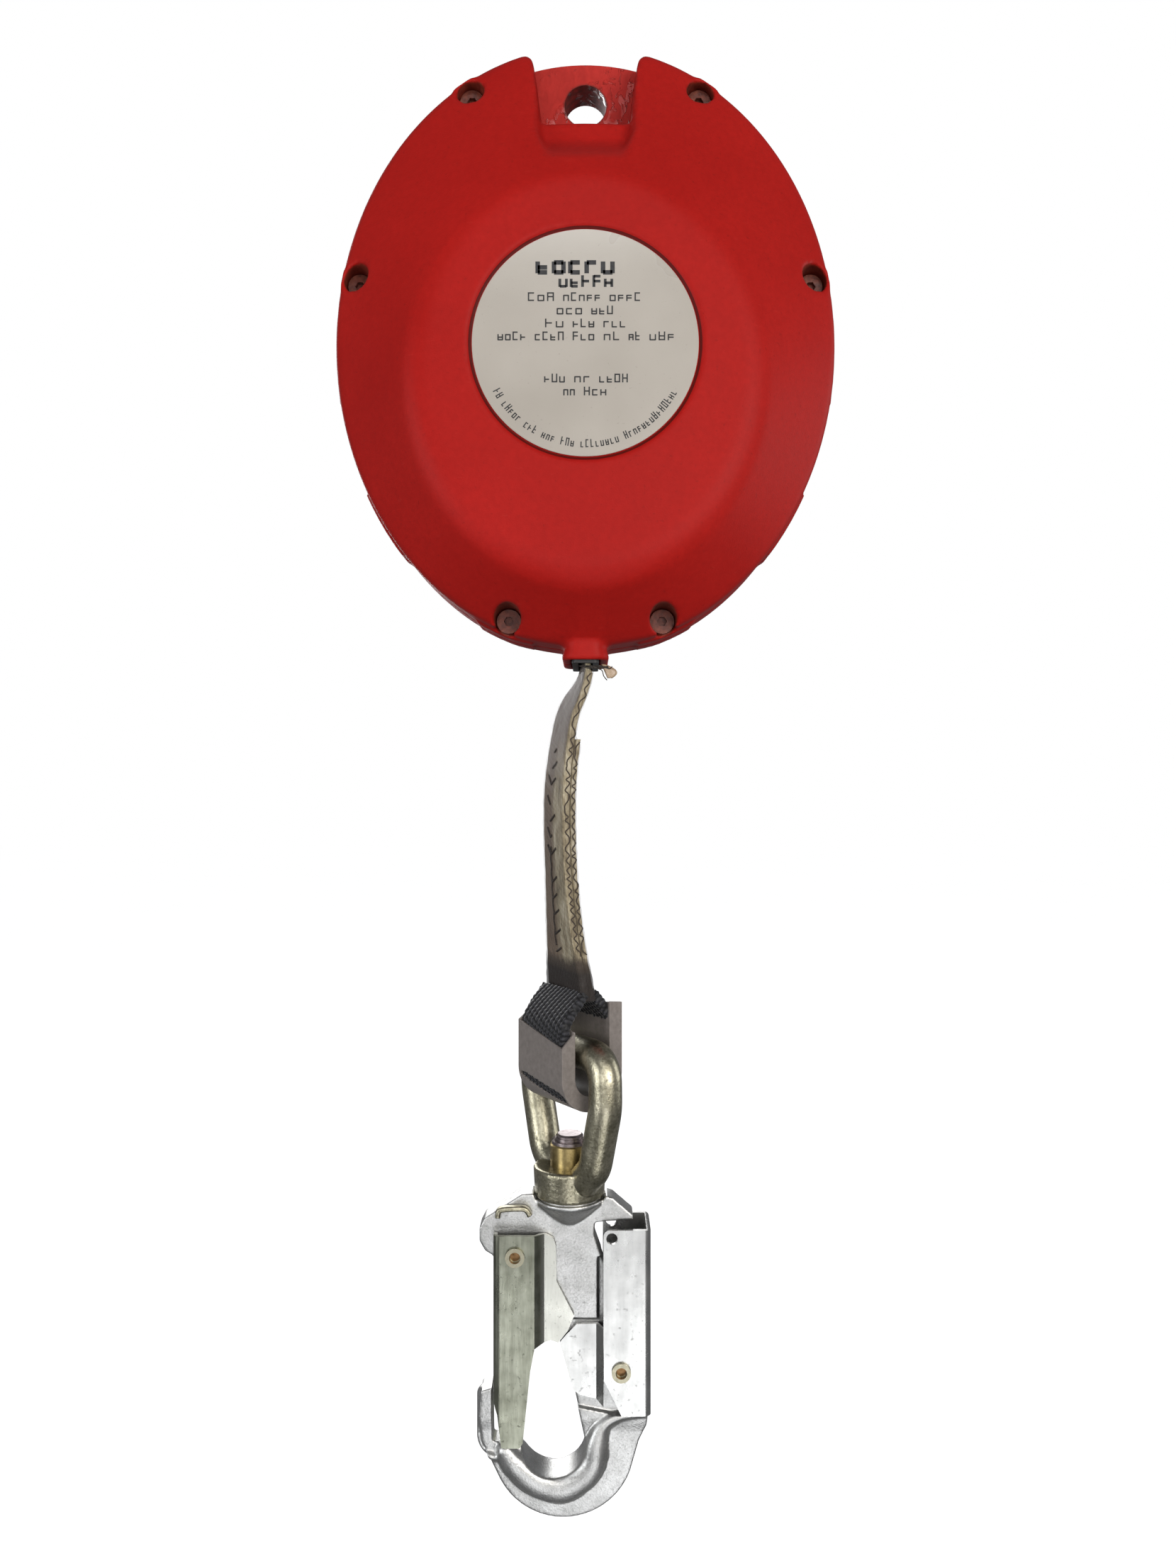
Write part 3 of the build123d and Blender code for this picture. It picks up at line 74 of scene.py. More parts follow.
# %% Camera
camera = bpy.data.objects.new("camera", bpy.data.cameras.new("camera"))
scene.collection.objects.link(camera)
camera.location = (0.00084, -0.400, -0.2271)
camera.rotation_euler = (math.pi / 2, 0, 0)
camera.data.lens = 27
camera.data.sensor_width = 36
scene.camera = camera
print("camera at", tuple(round(v, 3) for v in camera.location))


# %% [markdown]
# ## Sums on sockets
# A finish is a small sum of noises and masks. Blender writes such a sum as a row of Math nodes.
# The class Wire wraps one output socket, so that the sum can be written as plain Python, and
# Bench holds the node tree of one finish and makes every other node from one method.

# %% Wire: a socket that can stand in a sum
class Wire:
    def __init__(self, bench, socket):
        self.bench = bench
        self.socket = socket

    def sum(self, operation, first, second=0.0, third=0.0):
        inputs = {0: first, 1: second, 2: third}
        return self.bench.node("ShaderNodeMath", {"operation": operation}, inputs)

    def __add__(self, other):
        return self.sum("ADD", self, other)

    def __radd__(self, other):
        return self.sum("ADD", other, self)

    def __sub__(self, other):
        return self.sum("SUBTRACT", self, other)

    def __rsub__(self, other):
        return self.sum("SUBTRACT", other, self)

    def __mul__(self, other):
        return self.sum("MULTIPLY", self, other)

    def __rmul__(self, other):
        return self.sum("MULTIPLY", other, self)

    def __truediv__(self, other):
        return self.sum("DIVIDE", self, other)

    def __rtruediv__(self, other):
        return self.sum("DIVIDE", other, self)

    def __lt__(self, other):
        return self.sum("LESS_THAN", self, other)

    def __abs__(self):
        return self.sum("ABSOLUTE", self)

    def sine(self):
        return self.sum("SINE", self)

    def root(self):
        return self.sum("SQRT", self)

    def larger(self, other):
        return self.sum("MAXIMUM", self, other)

    def smaller(self, other):
        return self.sum("MINIMUM", self, other)


# %% Bench: the node tree of one finish
class Bench:
    def __init__(self, name, **constants):
        self.material = bpy.data.materials.new(name)
        self.material.use_nodes = True
        self.tree = self.material.node_tree
        self.shader = self.tree.nodes["Principled BSDF"]
        for socket, value in constants.items():
            self.shader.inputs[socket.replace("_", " ")].default_value = value

    def node(self, kind, settings=None, sockets=None, out=0):
        made = self.tree.nodes.new(kind)
        for key, value in (settings or {}).items():
            if key == "stops":
                set_stops(made.color_ramp, value)
            else:
                setattr(made, key, value)
        for key, value in (sockets or {}).items():
            self.feed(made.inputs[key], value)
        return Wire(self, made.outputs[out])

    def feed(self, socket, value):
        if isinstance(value, Wire):
            self.tree.links.new(value.socket, socket)
        else:
            socket.default_value = value

    def place(self):
        return self.node("ShaderNodeTexCoord", out="Object")

    def axes(self, vector):
        split = self.node("ShaderNodeSeparateXYZ", None, {0: vector})
        return [Wire(self, output) for output in split.socket.node.outputs]

    def strand(self):
        return self.node("ShaderNodeAttribute", {"attribute_name": "strand"}, out="Vector")

    def noise(self, vector, scale, detail=2.0, roughness=0.5, distortion=0.0):
        sockets = {
            "Vector": vector,
            "Scale": scale,
            "Detail": detail,
            "Roughness": roughness,
            "Distortion": distortion,
        }
        return self.node("ShaderNodeTexNoise", None, sockets, "Fac")

    def stretched(self, vector, scale):
        return self.node("ShaderNodeMapping", None, {"Vector": vector, "Scale": scale})

    def between(self, value, low, high, to_low=0.0, to_high=1.0):
        sockets = {0: value, 1: low, 2: high, 3: to_low, 4: to_high}
        return self.node("ShaderNodeMapRange", {"clamp": True}, sockets)

    def ramp(self, value, stops):
        return self.node("ShaderNodeValToRGB", {"stops": stops}, {"Fac": value})

    def mix(self, share, first, second):
        return self.node(
            "ShaderNodeMix", {"data_type": "RGBA"}, {0: share, 6: colour(first), 7: colour(second)}, 2
        )

    def bump(self, height, distance, strength=1.0):
        sockets = {"Height": height, "Distance": distance, "Strength": strength}
        return self.node("ShaderNodeBump", None, sockets)

    def finish(self, **links):
        for socket, value in links.items():
            self.feed(self.shader.inputs[socket.replace("_", " ")], value)
        print("finish", self.material.name, "nodes", len(self.tree.nodes))
        return self.material


def colour(value):
    return value if isinstance(value, Wire) else (*value, 1.0)


def set_stops(ramp, stops):
    while len(ramp.elements) > 1:
        ramp.elements.remove(ramp.elements[-1])
    for index, (place, shade) in enumerate(stops):
        element = ramp.elements[0] if index == 0 else ramp.elements.new(place)
        element.position = place
        element.color = (*shade, 1.0)


# %% Floor
FLOOR_Z = -0.575
FLOOR_HALF = 6.0
floor_mesh = bpy.data.meshes.new("floor")
floor_corners = [(x * FLOOR_HALF, y * FLOOR_HALF, FLOOR_Z) for x, y in [(-1, -1), (1, -1), (1, 1), (-1, 1)]]
floor_mesh.from_pydata(floor_corners, [], [(0, 1, 2, 3)])
floor = bpy.data.objects.new("floor", floor_mesh)
scene.collection.objects.link(floor)
floor.visible_diffuse = floor.visible_glossy = False
floor_bench = Bench("pale_floor", Roughness=0.9, Specular_IOR_Level=0.0, Emission_Strength=0.97)
floor_bench.shader.inputs["Emission Color"].default_value = (1, 1, 1, 1)
floor_cloud = floor_bench.noise(floor_bench.place(), 3.0, 2)
floor_tone = floor_bench.ramp(floor_cloud, [(0.3, (0.16, 0.16, 0.16)), (0.7, (0.18, 0.18, 0.18))])
floor_mesh.materials.append(floor_bench.finish(Base_Color=floor_tone))

# %% Sky and lamps
world = bpy.data.worlds.new("room")
scene.world = world
world.use_nodes = True
sky = world.node_tree
sky.nodes.clear()
look = sky.nodes.new("ShaderNodeLightPath")
share = sky.nodes.new("ShaderNodeMixShader")
for slot_index, (shade, strength) in enumerate([((0.88, 0.89, 0.92), 0.20), ((1, 1, 1), 1.0)]):
    glow = sky.nodes.new("ShaderNodeBackground")
    glow.inputs["Color"].default_value = (*shade, 1)
    glow.inputs["Strength"].default_value = strength
    sky.links.new(glow.outputs[0], share.inputs[slot_index + 1])
sky.links.new(look.outputs["Is Camera Ray"], share.inputs[0])
sky_out = sky.nodes.new("ShaderNodeOutputWorld")
sky.links.new(share.outputs[0], sky_out.inputs["Surface"])


def lamp(name, place, aim, size, watts, tint=(1, 1, 1)):
    data = bpy.data.lights.new(name, "AREA")
    data.shape = "RECTANGLE"
    data.size, data.size_y = size
    data.energy = watts
    data.color = tint
    made = bpy.data.objects.new(name, data)
    scene.collection.objects.link(made)
    made.location = place
    made.rotation_euler = (Vector(aim) - Vector(place)).to_track_quat("-Z", "Y").to_euler()
    return made


MIDDLE = (0, 0, -0.22)
COVER_MIDDLE_PLACE = (0, 0, -0.08)
HOOK_MIDDLE = (0, 0, -0.42)
lamp("key_lamp", (0.65, -1.10, 0.00), COVER_MIDDLE_PLACE, (0.8, 0.8), 13.0, (1.0, 0.97, 0.93))
lamp("label_lamp", (-0.04, -0.95, 0.44), COVER_MIDDLE_PLACE, (0.24, 0.14), 1.0)
lamp("low_card", (0.10, -0.85, -0.95), HOOK_MIDDLE, (0.50, 0.45), 2.0, (0.97, 0.98, 1.0))
lamp("left_lamp", (-1.0, -0.75, -0.25), MIDDLE, (0.45, 0.8), 6.5, (0.96, 0.98, 1.0))
lamp("front_lamp", (-0.20, -0.95, -0.28), MIDDLE, (0.3, 0.3), 1.6)
lamp("back_lamp", (-0.4, 1.2, 0.3), MIDDLE, (1.0, 1.0), 13.0)
lamp("side_lamp", (1.1, 0.25, -0.1), MIDDLE, (0.35, 0.8), 3.0)

# %% [markdown]
# ## The red mouldings
# The two covers are red plastic with a fine sparked grain and a soft satin shine. The six
# screw recesses are darker: a mask measures how far each point is from the nearest screw's axis
# and turns the plastic a dark brown inside them, partly dirt and partly painted shade. A thin
# ring of painted shade marks the groove round the label.

# %% Red plastic
SCREWS = [(37.4, -1.8), (74.4, -62.7), (25.3, -173.4)]
LABEL_Z = -91.0


def nearest_axis(x, z, spots):
    """How far a point is from the nearest of some axes that run from front to back."""
    nearest = None
    for spot_x, spot_z in spots:
        across = x - spot_x * MM
        along = z - spot_z * MM
        away = (across * across + along * along).root()
        nearest = away if nearest is None else nearest.smaller(away)
    return nearest


def red_plastic():
    bench = Bench("red_plastic", Specular_IOR_Level=0.10)
    place = bench.place()
    grain = bench.noise(place, 1900, 2, 0.6)
    cloud = bench.noise(place, 22, 4, 0.6)
    scuff = bench.between(bench.noise(bench.stretched(place, (60, 60, 340)), 3.0, 5, 0.7), 0.63, 0.72)
    speck = bench.between(bench.noise(place, 900, 1), 0.68, 0.75)
    mottle = bench.between(bench.noise(place, 520, 3, 0.7), 0.35, 0.65)
    red = bench.ramp(cloud, [(0.30, (0.315, 0.0075, 0.0055)), (0.70, (0.365, 0.0095, 0.0070))])
    red = bench.mix(mottle * 0.30, red, (0.235, 0.0055, 0.0042))
    red = bench.mix(scuff * 0.18, red, (0.45, 0.04, 0.03))
    red = bench.mix(speck * 0.25, red, (0.12, 0.006, 0.005))
    x, y, z = bench.axes(place)
    low = z - LABEL_Z * MM
    # Painted shade: a thin dark ring where the groove runs round the label.
    painted_groove_shade = (abs((x * x + low * low).root() - 35.7 * MM) < 0.42 * MM) * (y < -0.02)
    red = bench.mix(painted_groove_shade * 0.85, red, (0.045, 0.004, 0.003))
    # Dirt and painted shade: inside the screw recesses the plastic turns a dark brown.
    recess_dirt_and_shade = bench.between(nearest_axis(abs(x), z, SCREWS), 4.45 * MM, 4.75 * MM, 1.0, 0.0)
    recess_grime_and_shade = bench.noise(place, 420, 3)
    inside = bench.ramp(recess_grime_and_shade, [(0.35, (0.13, 0.016, 0.010)), (0.70, (0.24, 0.036, 0.020))])
    return bench.finish(
        Base_Color=bench.mix(recess_dirt_and_shade, red, inside),
        Roughness=bench.between(cloud, 0.3, 0.7, 0.44, 0.54) + scuff * 0.12,
        Normal=bench.bump(grain, 0.00008, 0.5),
    )


RED = red_plastic()


# %% [markdown]
# ## The painted anchorage
# Between the covers a steel plate sticks up with the anchorage hole. Its red paint is thick and
# has run in lumps, and dark spots show where it has chipped, so the bump is coarse and the
# coat layer is wet and clear.

# %% Thick glossy paint
def run_paint():
    bench = Bench("run_paint", Coat_Roughness=0.06, Specular_IOR_Level=0.18)
    place = bench.place()
    x, y, z = bench.axes(place)
    runs = bench.noise(bench.stretched(place, (1, 1, 0.55)), 420, 3, 0.6, 0.8)
    patches = bench.between(bench.noise(place, 75, 3), 0.47, 0.54)
    lumps = bench.between(runs, 0.51, 0.56) * patches
    chips = bench.between(bench.noise(place, 620, 3, 0.7), 0.68, 0.72)
    paint = bench.ramp(runs, [(0.3, (0.34, 0.017, 0.013)), (0.7, (0.43, 0.024, 0.018))])
    away = (x * x + z * z).root()
    # Round the anchorage hole and down its bore the paint turns almost black.
    rim = bench.between(away + bench.noise(place, 500, 2) * 0.0012, 7.3 * MM, 8.3 * MM, 1.0, 0.0)
    dark_round_hole = bench.mix(rim * 0.85, paint, (0.030, 0.018, 0.014))
    return bench.finish(
        Base_Color=bench.mix(chips, dark_round_hole, (0.035, 0.012, 0.010)),
        Coat_Weight=lumps * 0.9,
        Roughness=0.62 - lumps * 0.35,
        Normal=bench.bump(lumps + runs * 0.25, 0.0006, 0.8),
    )


PAINT = run_paint()


# %% [markdown]
# ## Metals
# The forged hook is plated a sandy silver, the eye and the pressed gate a slightly yellow zinc,
# and the collar a brassy gold. One recipe serves all but the two rivets: fine grit in the bump,
# larger clouds in roughness, and dark specks where the plating is pitted.

# %% One recipe for plated metal
def plated(name, dark, light, roughness, grit_scale=900.0, grit=0.00012, pits=0.3,
           brushed=None, highlight_within=None):
    """Pitted metal. Brushed stretches its grit; the last argument paints a highlight, a paler tone within
    that distance of the middle plane.
    """
    bench = Bench(name, Metallic=1.0)
    place = bench.place()
    lay = place if brushed is None else bench.stretched(place, brushed)
    cloud = bench.noise(place, 70, 4, 0.65)
    sand = bench.noise(lay, grit_scale, 3, 0.6)
    spots = bench.between(bench.noise(place, 800, 2, 0.6), 0.62, 0.72)
    tone = bench.ramp(bench.noise(place, 160, 3) * 0.5 + sand * 0.5, [(0.35, dark), (0.65, light)])
    if highlight_within:
        x, y, z = bench.axes(place)
        # Painted highlight: near the middle plane the metal turns paler; on the gate this is the wing.
        pale = bench.between(abs(y), (highlight_within - 0.5) * MM, (highlight_within + 0.5) * MM, 1.0, 0.0)
        tone = bench.mix(pale, tone, (0.50, 0.50, 0.455))
    return bench.finish(
        Base_Color=bench.mix(spots * pits, tone, tuple(0.35 * part for part in dark)),
        Roughness=bench.between(cloud, 0.3, 0.7, roughness - 0.05, roughness + 0.07) + spots * 0.15,
        Normal=bench.bump(sand, grit, 0.6),
    )


HOOK_ZINC = plated("sandy_zinc", (0.40, 0.40, 0.39), (0.62, 0.62, 0.61), 0.38, 1500, 0.00016)
EYE_ZINC = plated("olive_zinc", (0.21, 0.195, 0.135), (0.52, 0.485, 0.365), 0.33, 1100, 0.00016, 0.55)
LEVER_ZINC = plated(
    "lever_zinc", (0.40, 0.40, 0.39), (0.56, 0.56, 0.545), 0.27, 300, 0.00004, 0.15, (1, 1, 0.15)
)
# The gate's wing gets a painted highlight, a paler tone than the channel.
SHEET_ZINC = plated(
    "sheet_zinc", (0.15, 0.155, 0.118), (0.33, 0.34, 0.275), 0.29, 420, 0.00008, 0.3, (1, 1, 0.12), 7.0
)
GOLD = plated("passivated_gold", (0.30, 0.22, 0.09), (0.62, 0.48, 0.22), 0.30, 700, 0.00004, 0.3)
DARK_STEEL = plated("blued_steel", (0.05, 0.05, 0.055), (0.13, 0.13, 0.14), 0.35)
BRIGHT_STEEL = plated("bright_steel", (0.45, 0.45, 0.46), (0.66, 0.66, 0.67), 0.28, 500, 0.00003, 0.1)
ALLOY = plated("cast_alloy", (0.50, 0.50, 0.52), (0.68, 0.68, 0.70), 0.42)
MAUVE_STEEL = plated("rivet_mauve", (0.17, 0.14, 0.14), (0.34, 0.29, 0.29), 0.34, 600)


# %% Rivets with a brassy middle
RIVETS = [(-23.5, -384.5), (11.9, -422.8)]


def rivet_finish():
    bench = Bench("rivet_finish", Metallic=1.0)
    place = bench.place()
    x, y, z = bench.axes(place)
    nearest = nearest_axis(x, z, RIVETS)
    grain = bench.noise(place, 900, 3)
    brass = bench.ramp(grain, [(0.3, (0.10, 0.055, 0.025)), (0.7, (0.26, 0.15, 0.07))])
    middle = bench.between(nearest, 1.55 * MM, 1.85 * MM, 1.0, 0.0)
    return bench.finish(
        Base_Color=bench.mix(middle, (0.33, 0.31, 0.23), brass),
        Roughness=bench.between(grain, 0.3, 0.7, 0.26, 0.40),
        Normal=bench.bump(grain, 0.00006, 0.5),
    )


RIVET = rivet_finish()


# %% Dirty screws, black plastic and linings
def plain_matter(name, dark, light, roughness, scale, lift, specular=0.4):
    bench = Bench(name, Specular_IOR_Level=specular)
    place = bench.place()
    grain = bench.noise(place, scale, 4, 0.6)
    return bench.finish(
        Base_Color=bench.ramp(grain, [(0.32, dark), (0.68, light)]),
        Roughness=bench.between(grain, 0.3, 0.7, roughness - 0.07, roughness + 0.07),
        Normal=bench.bump(grain, lift, 0.6),
    )


SCREW = plain_matter("dirty_screw", (0.075, 0.016, 0.010), (0.20, 0.050, 0.028), 0.42, 600, 0.0002, 0.35)
BLACK_PLASTIC = plain_matter(
    "black_plastic", (0.014, 0.014, 0.015), (0.030, 0.030, 0.031), 0.5, 1200, 0.00008
)
LINING = plain_matter("pressed_lining", (0.05, 0.04, 0.03), (0.12, 0.10, 0.08), 0.8, 900, 0.0002, 0.2)
GUARD_GREY = plain_matter(
    "guard_grey", (0.165, 0.145, 0.133), (0.215, 0.190, 0.176), 0.42, 650, 0.00006, 0.35
)
INK = plain_matter("label_ink", (0.012, 0.012, 0.014), (0.03, 0.03, 0.033), 0.45, 900, 0.00001)


# %% Label film
def label_film():
    bench = Bench("label_film", Coat_Weight=0.35, Coat_Roughness=0.12)
    place = bench.place()
    cloud = bench.noise(place, 35, 3, 0.5)
    lint = bench.between(bench.noise(place, 1300, 2), 0.70, 0.75)
    film = bench.ramp(cloud, [(0.3, (0.335, 0.305, 0.265)), (0.7, (0.375, 0.342, 0.30))])
    return bench.finish(
        Base_Color=bench.mix(lint * 0.3, film, (0.2, 0.18, 0.16)),
        Roughness=bench.between(cloud, 0.3, 0.7, 0.26, 0.36),
        Normal=bench.bump(cloud, 0.0002, 0.5),
    )


LABEL = label_film()

# %% Give the hard nodes their finishes
NODE_FINISH = {
    RED: "front_cover rear_cover",
    PAINT: "front_frame_plate rear_frame_plate anchor_core anchor_rivets",
    SCREW: "cover_screws",
    LABEL: "label_disc",
    BLACK_PLASTIC: "webbing_guide left_guide_roller right_guide_roller webbing_coil webbing_lead",
    HOOK_ZINC: "hook_body swivel_washer",
    EYE_ZINC: "swivel_eye",
    SHEET_ZINC: "gate",
    LEVER_ZINC: "lock_lever",
    RIVET: "gate_rivet lever_rivet",
    GOLD: "swivel_collar cover_inserts drum_bushes",
    MAUVE_STEEL: "swivel_pin swivel_cap_washer",
    DARK_STEEL: "power_spring brake_ring brake_spring_washer left_pawl right_pawl pawl_springs"
    " gate_spring lever_spring",
    BRIGHT_STEEL: "roller_pins drum_shaft shaft_nuts brake_clamp_ring brake_screws webbing_pin"
    " spring_cover spring_cover_screws pawl_pins",
    ALLOY: "drum_core front_drum_flange",
    LINING: "brake_linings",
}
for material, names in NODE_FINISH.items():
    for name in names.split():
        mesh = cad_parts[name].data
        mesh.materials.clear()
        mesh.materials.append(material)
print("finishes on", sum(len(names.split()) for names in NODE_FINISH.values()), "nodes")


# %% [markdown]
# ## Making meshes
# Most soft pieces are skins: rings of points laid along a path, joined by faces. A skin of cloth
# carries an attribute called strand, with the place across, along and through the cloth at every
# point, so that a weave or a mask follows the cloth wherever it bends.

# %% Skins and tubes
def build(name, points, faces, material, body=None):
    mesh = bpy.data.meshes.new(name)
    mesh.from_pydata([Vector(p) * MM for p in points], [], faces)
    mesh.polygons.foreach_set("use_smooth", [True] * len(mesh.polygons))
    mesh.materials.append(material)
    made = bpy.data.objects.new(name, mesh)
    scene.collection.objects.link(made)
    bm = bmesh.new()
    bm.from_mesh(mesh)
    bmesh.ops.recalc_face_normals(bm, faces=bm.faces)
    bm.to_mesh(mesh)
    bm.free()
    if body:
        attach(made, body)
    print("piece", name, "vertices", len(points))
    return made


def skin(name, rings, material, body=None, round_ring=True, caps=True, strands=None):
    count = len(rings[0])
    points = [p for ring in rings for p in ring]
    faces = []
    for row in range(len(rings) - 1):
        for column in range(count if round_ring else count - 1):
            after = (column + 1) % count
            low, high = row * count, (row + 1) * count
            faces.append((low + column, low + after, high + after, high + column))
    if caps and round_ring:
        faces.append(tuple(range(count)))
        last = (len(rings) - 1) * count
        faces.append(tuple(last + column for column in range(count)))
    made = build(name, points, faces, material, body)
    if strands:
        attribute = made.data.attributes.new("strand", "FLOAT_VECTOR", "POINT")
        flat = [part * MM for ring in strands for p in ring for part in p]
        attribute.data.foreach_set("vector", flat)
    return made


def tube_rings(points, radius, sides=8):
    points = [Vector(p) for p in points]
    rings = []
    side = None
    for index, point in enumerate(points):
        ahead = (points[min(index + 1, len(points) - 1)] - points[max(index - 1, 0)]).normalized()
        if side is None:
            side = ahead.orthogonal().normalized()
        side = (side - ahead * side.dot(ahead)).normalized()
        other = ahead.cross(side)
        size = radius(index / (len(points) - 1)) if callable(radius) else radius
        ring = []
        for step in range(sides):
            turn = 2 * math.pi * step / sides
            ring.append(point + (side * math.cos(turn) + other * math.sin(turn)) * size)
        rings.append(ring)
    return rings


def threads(name, lines, radius, material, body, sides=6):
    points, faces = [], []
    for line in lines:
        rings = tube_rings(line, radius, sides)
        base = len(points)
        points += [p for ring in rings for p in ring]
        for row in range(len(rings) - 1):
            for column in range(sides):
                after = (column + 1) % sides
                low = base + row * sides
                faces.append((low + column, low + after, low + sides + after, low + sides + column))
        faces.append(tuple(base + column for column in range(sides)))
        faces.append(tuple(len(points) - sides + column for column in range(sides)))
    return build(name, points, faces, material, body)


def smooth_run(values, steps):
    """Points on a smooth curve through the given ones (Catmull-Rom)."""
    rows = [Vector(v) for v in values]
    made = []
    for index in range(len(rows) - 1):
        p0 = rows[max(index - 1, 0)]
        p1, p2 = rows[index], rows[index + 1]
        p3 = rows[min(index + 2, len(rows) - 1)]
        for step in range(steps):
            t = step / steps
            made.append(
                0.5 * (2 * p1 + (p2 - p0) * t + (2 * p0 - 5 * p1 + 4 * p2 - p3) * t * t
                       + (3 * p1 - p0 - 3 * p2 + p3) * t ** 3)
            )
    made.append(rows[-1])
    return made


# %% [markdown]
# ## The webbing
# The webbing hangs nearly edge-on below the lip and turns as it falls, so its broad face shows
# on the left and the thickness of its layers on the right. It is one layer at first and two
# where the tail is sewn back. Each layer is a skin with a rounded outline.

# %% The path of the webbing
# Height, sideways place and turn in degrees, from the top down.
WEB_CURVE = [
    (-180.0, 0.0, 0.0),
    (-190.0, -0.6, 7.0),
    (-198.0, -4.2, 15.0),
    (-206.5, -7.2, 15.0),
    (-225.0, -9.8, 16.5),
    (-241.0, -10.2, 17.0),
    (-259.0, -9.6, 17.5),
    (-278.0, -8.3, 22.0),
    (-297.0, -6.2, 30.0),
]
WEB_RUN = smooth_run(WEB_CURVE, 8)
HALF_WEB = 12.4
LAYER = 2.0
FRONT_HALF = 1.35
TAIL_SHIFT = 2.75
TAIL_TOP = -212.3
WEB_END = -298.5
print("points on the webbing's path", len(WEB_RUN))


def web_frame(z):
    """The middle of the webbing and its two ways, through and across, at one height."""
    for upper, lower in zip(WEB_RUN, WEB_RUN[1:]):
        if lower[0] <= z <= upper[0]:
            share = (upper[0] - z) / max(upper[0] - lower[0], 1e-6)
            row = upper + (lower - upper) * share
            break
    else:
        row = WEB_RUN[-1] if z < WEB_RUN[-1][0] else WEB_RUN[0]
    turn = math.radians(row[2])
    through = Vector((math.cos(turn), math.sin(turn), 0))
    across = Vector((math.sin(turn), -math.cos(turn), 0))
    return Vector((row[1], 0, z)), through, across


def round_outline(half_through, half_across, corner, steps=5, sides=14):
    """A rounded rectangle as (through, across) pairs, with extra points on its long sides."""
    corner = min(corner, half_through)
    marks = []
    for quarter, (sx, sy) in enumerate([(1, 1), (-1, 1), (-1, -1), (1, -1)]):
        centre = (sx * (half_through - corner), sy * (half_across - corner))
        for step in range(steps + 1):
            turn = math.pi / 2 * (quarter + step / steps)
            marks.append((centre[0] + corner * math.cos(turn), centre[1] + corner * math.sin(turn)))
        if quarter in (1, 3):
            ends = (half_across - corner) * (1 if quarter == 1 else -1)
            for step in range(1, sides):
                marks.append((sx * half_through, ends * (1 - 2 * step / sides)))
    return marks


def layer_rings(top, bottom, step, shift, half_through, half_across, corner, wobble=0.0):
    rings, strands = [], []
    count = int(round((top - bottom) / step))
    outline = round_outline(half_through, half_across, corner)
    for index in range(count + 1):
        z = top + (bottom - top) * index / count
        middle, through, across = web_frame(z)
        ring, strand = [], []
        for t, w in outline:
            ripple = wobble * math.sin(z * 0.9 + w * 0.15) * math.sin(z * 0.23 + 1.7)
            ring.append(middle + through * (t + shift + ripple) + across * w)
            strand.append((w, z, t))
        rings.append(ring)
        strands.append(strand)
    return rings, strands


# %% Webbing cloth
def webbing_cloth():
    bench = Bench("webbing_cloth", Specular_IOR_Level=0.20, Sheen_Weight=0.12, Sheen_Roughness=0.5)
    strand = bench.strand()
    w, along, t = bench.axes(strand)
    x, y, z = bench.axes(bench.place())
    pitch = 1.25 * MM
    warp = abs((w * (math.pi / pitch)).sine())
    weft = abs(((z + w * 0.35) * (math.pi / (1.9 * MM))).sine())
    fibre = bench.noise(bench.stretched(bench.place(), (1, 1, 0.14)), 1700, 3, 0.7)
    shade = bench.noise(bench.stretched(bench.place(), (1, 1, 0.5)), 210, 4, 0.65)
    cream_stops = [(0.36, (0.11, 0.086, 0.050)), (0.50, (0.36, 0.305, 0.20)), (0.64, (0.66, 0.60, 0.46))]
    cream = bench.ramp(shade * 0.55 + fibre * 0.45, cream_stops)
    brown = bench.ramp(shade, [(0.3, (0.115, 0.080, 0.055)), (0.7, (0.20, 0.145, 0.103))])
    # Painted shade: the brown of the webbing is darker over its top part, just below the lip.
    high = bench.between(along + shade * 0.01, -0.222, -0.196)
    brown = bench.mix(high * 0.75, brown, (0.062, 0.043, 0.033))
    edge = bench.between(w, 10.6 * MM, 11.6 * MM)
    low_face = bench.between(along + shade * 0.02, -0.218, -0.200, 1.0, 0.0)
    near_face = bench.between(w + (shade - 0.5) * 0.004, -2.0 * MM, 3.0 * MM)
    cloth = bench.mix((low_face * near_face).larger(edge), brown, cream)
    smoke = bench.between(along + shade * 0.008, -0.2835, -0.2805, 1.0, 0.0)
    cloth = bench.mix(smoke * 0.94, cloth, (0.032, 0.028, 0.026))
    height = warp * weft * 0.7 + fibre * 0.5
    return bench.finish(
        Base_Color=cloth,
        Roughness=bench.between(shade, 0.3, 0.7, 0.62, 0.82),
        Normal=bench.bump(height, 0.0004, 0.9),
    )


CLOTH = webbing_cloth()

# %% Two layers of webbing
exit_rings, exit_strands = layer_rings(-180.0, -189.5, 0.16, 0.0, 0.9, HALF_WEB, 0.85)
long_rings, long_strands = layer_rings(-190.4, WEB_END, 0.8, 0.35, FRONT_HALF, HALF_WEB, 1.1, 0.05)
web_front = skin("web_front_layer", exit_rings + long_rings, CLOTH, strands=exit_strands + long_strands)
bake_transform(web_front)
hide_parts("line_webbing")

tail_rings, tail_strands = layer_rings(
    TAIL_TOP, WEB_END, 0.8, TAIL_SHIFT, LAYER / 2, HALF_WEB - 0.2, 0.95, 0.12
)
web_tail = skin("web_tail_layer", tail_rings, CLOTH, "line", strands=tail_strands)


# %% [markdown]
# ## The clear sleeve
# A smoky clear film is shrunk over the sewn part. It is a very thin skin round both layers,
# mostly see-through, with a faint shine and a few wrinkles, and darker at its lower end.

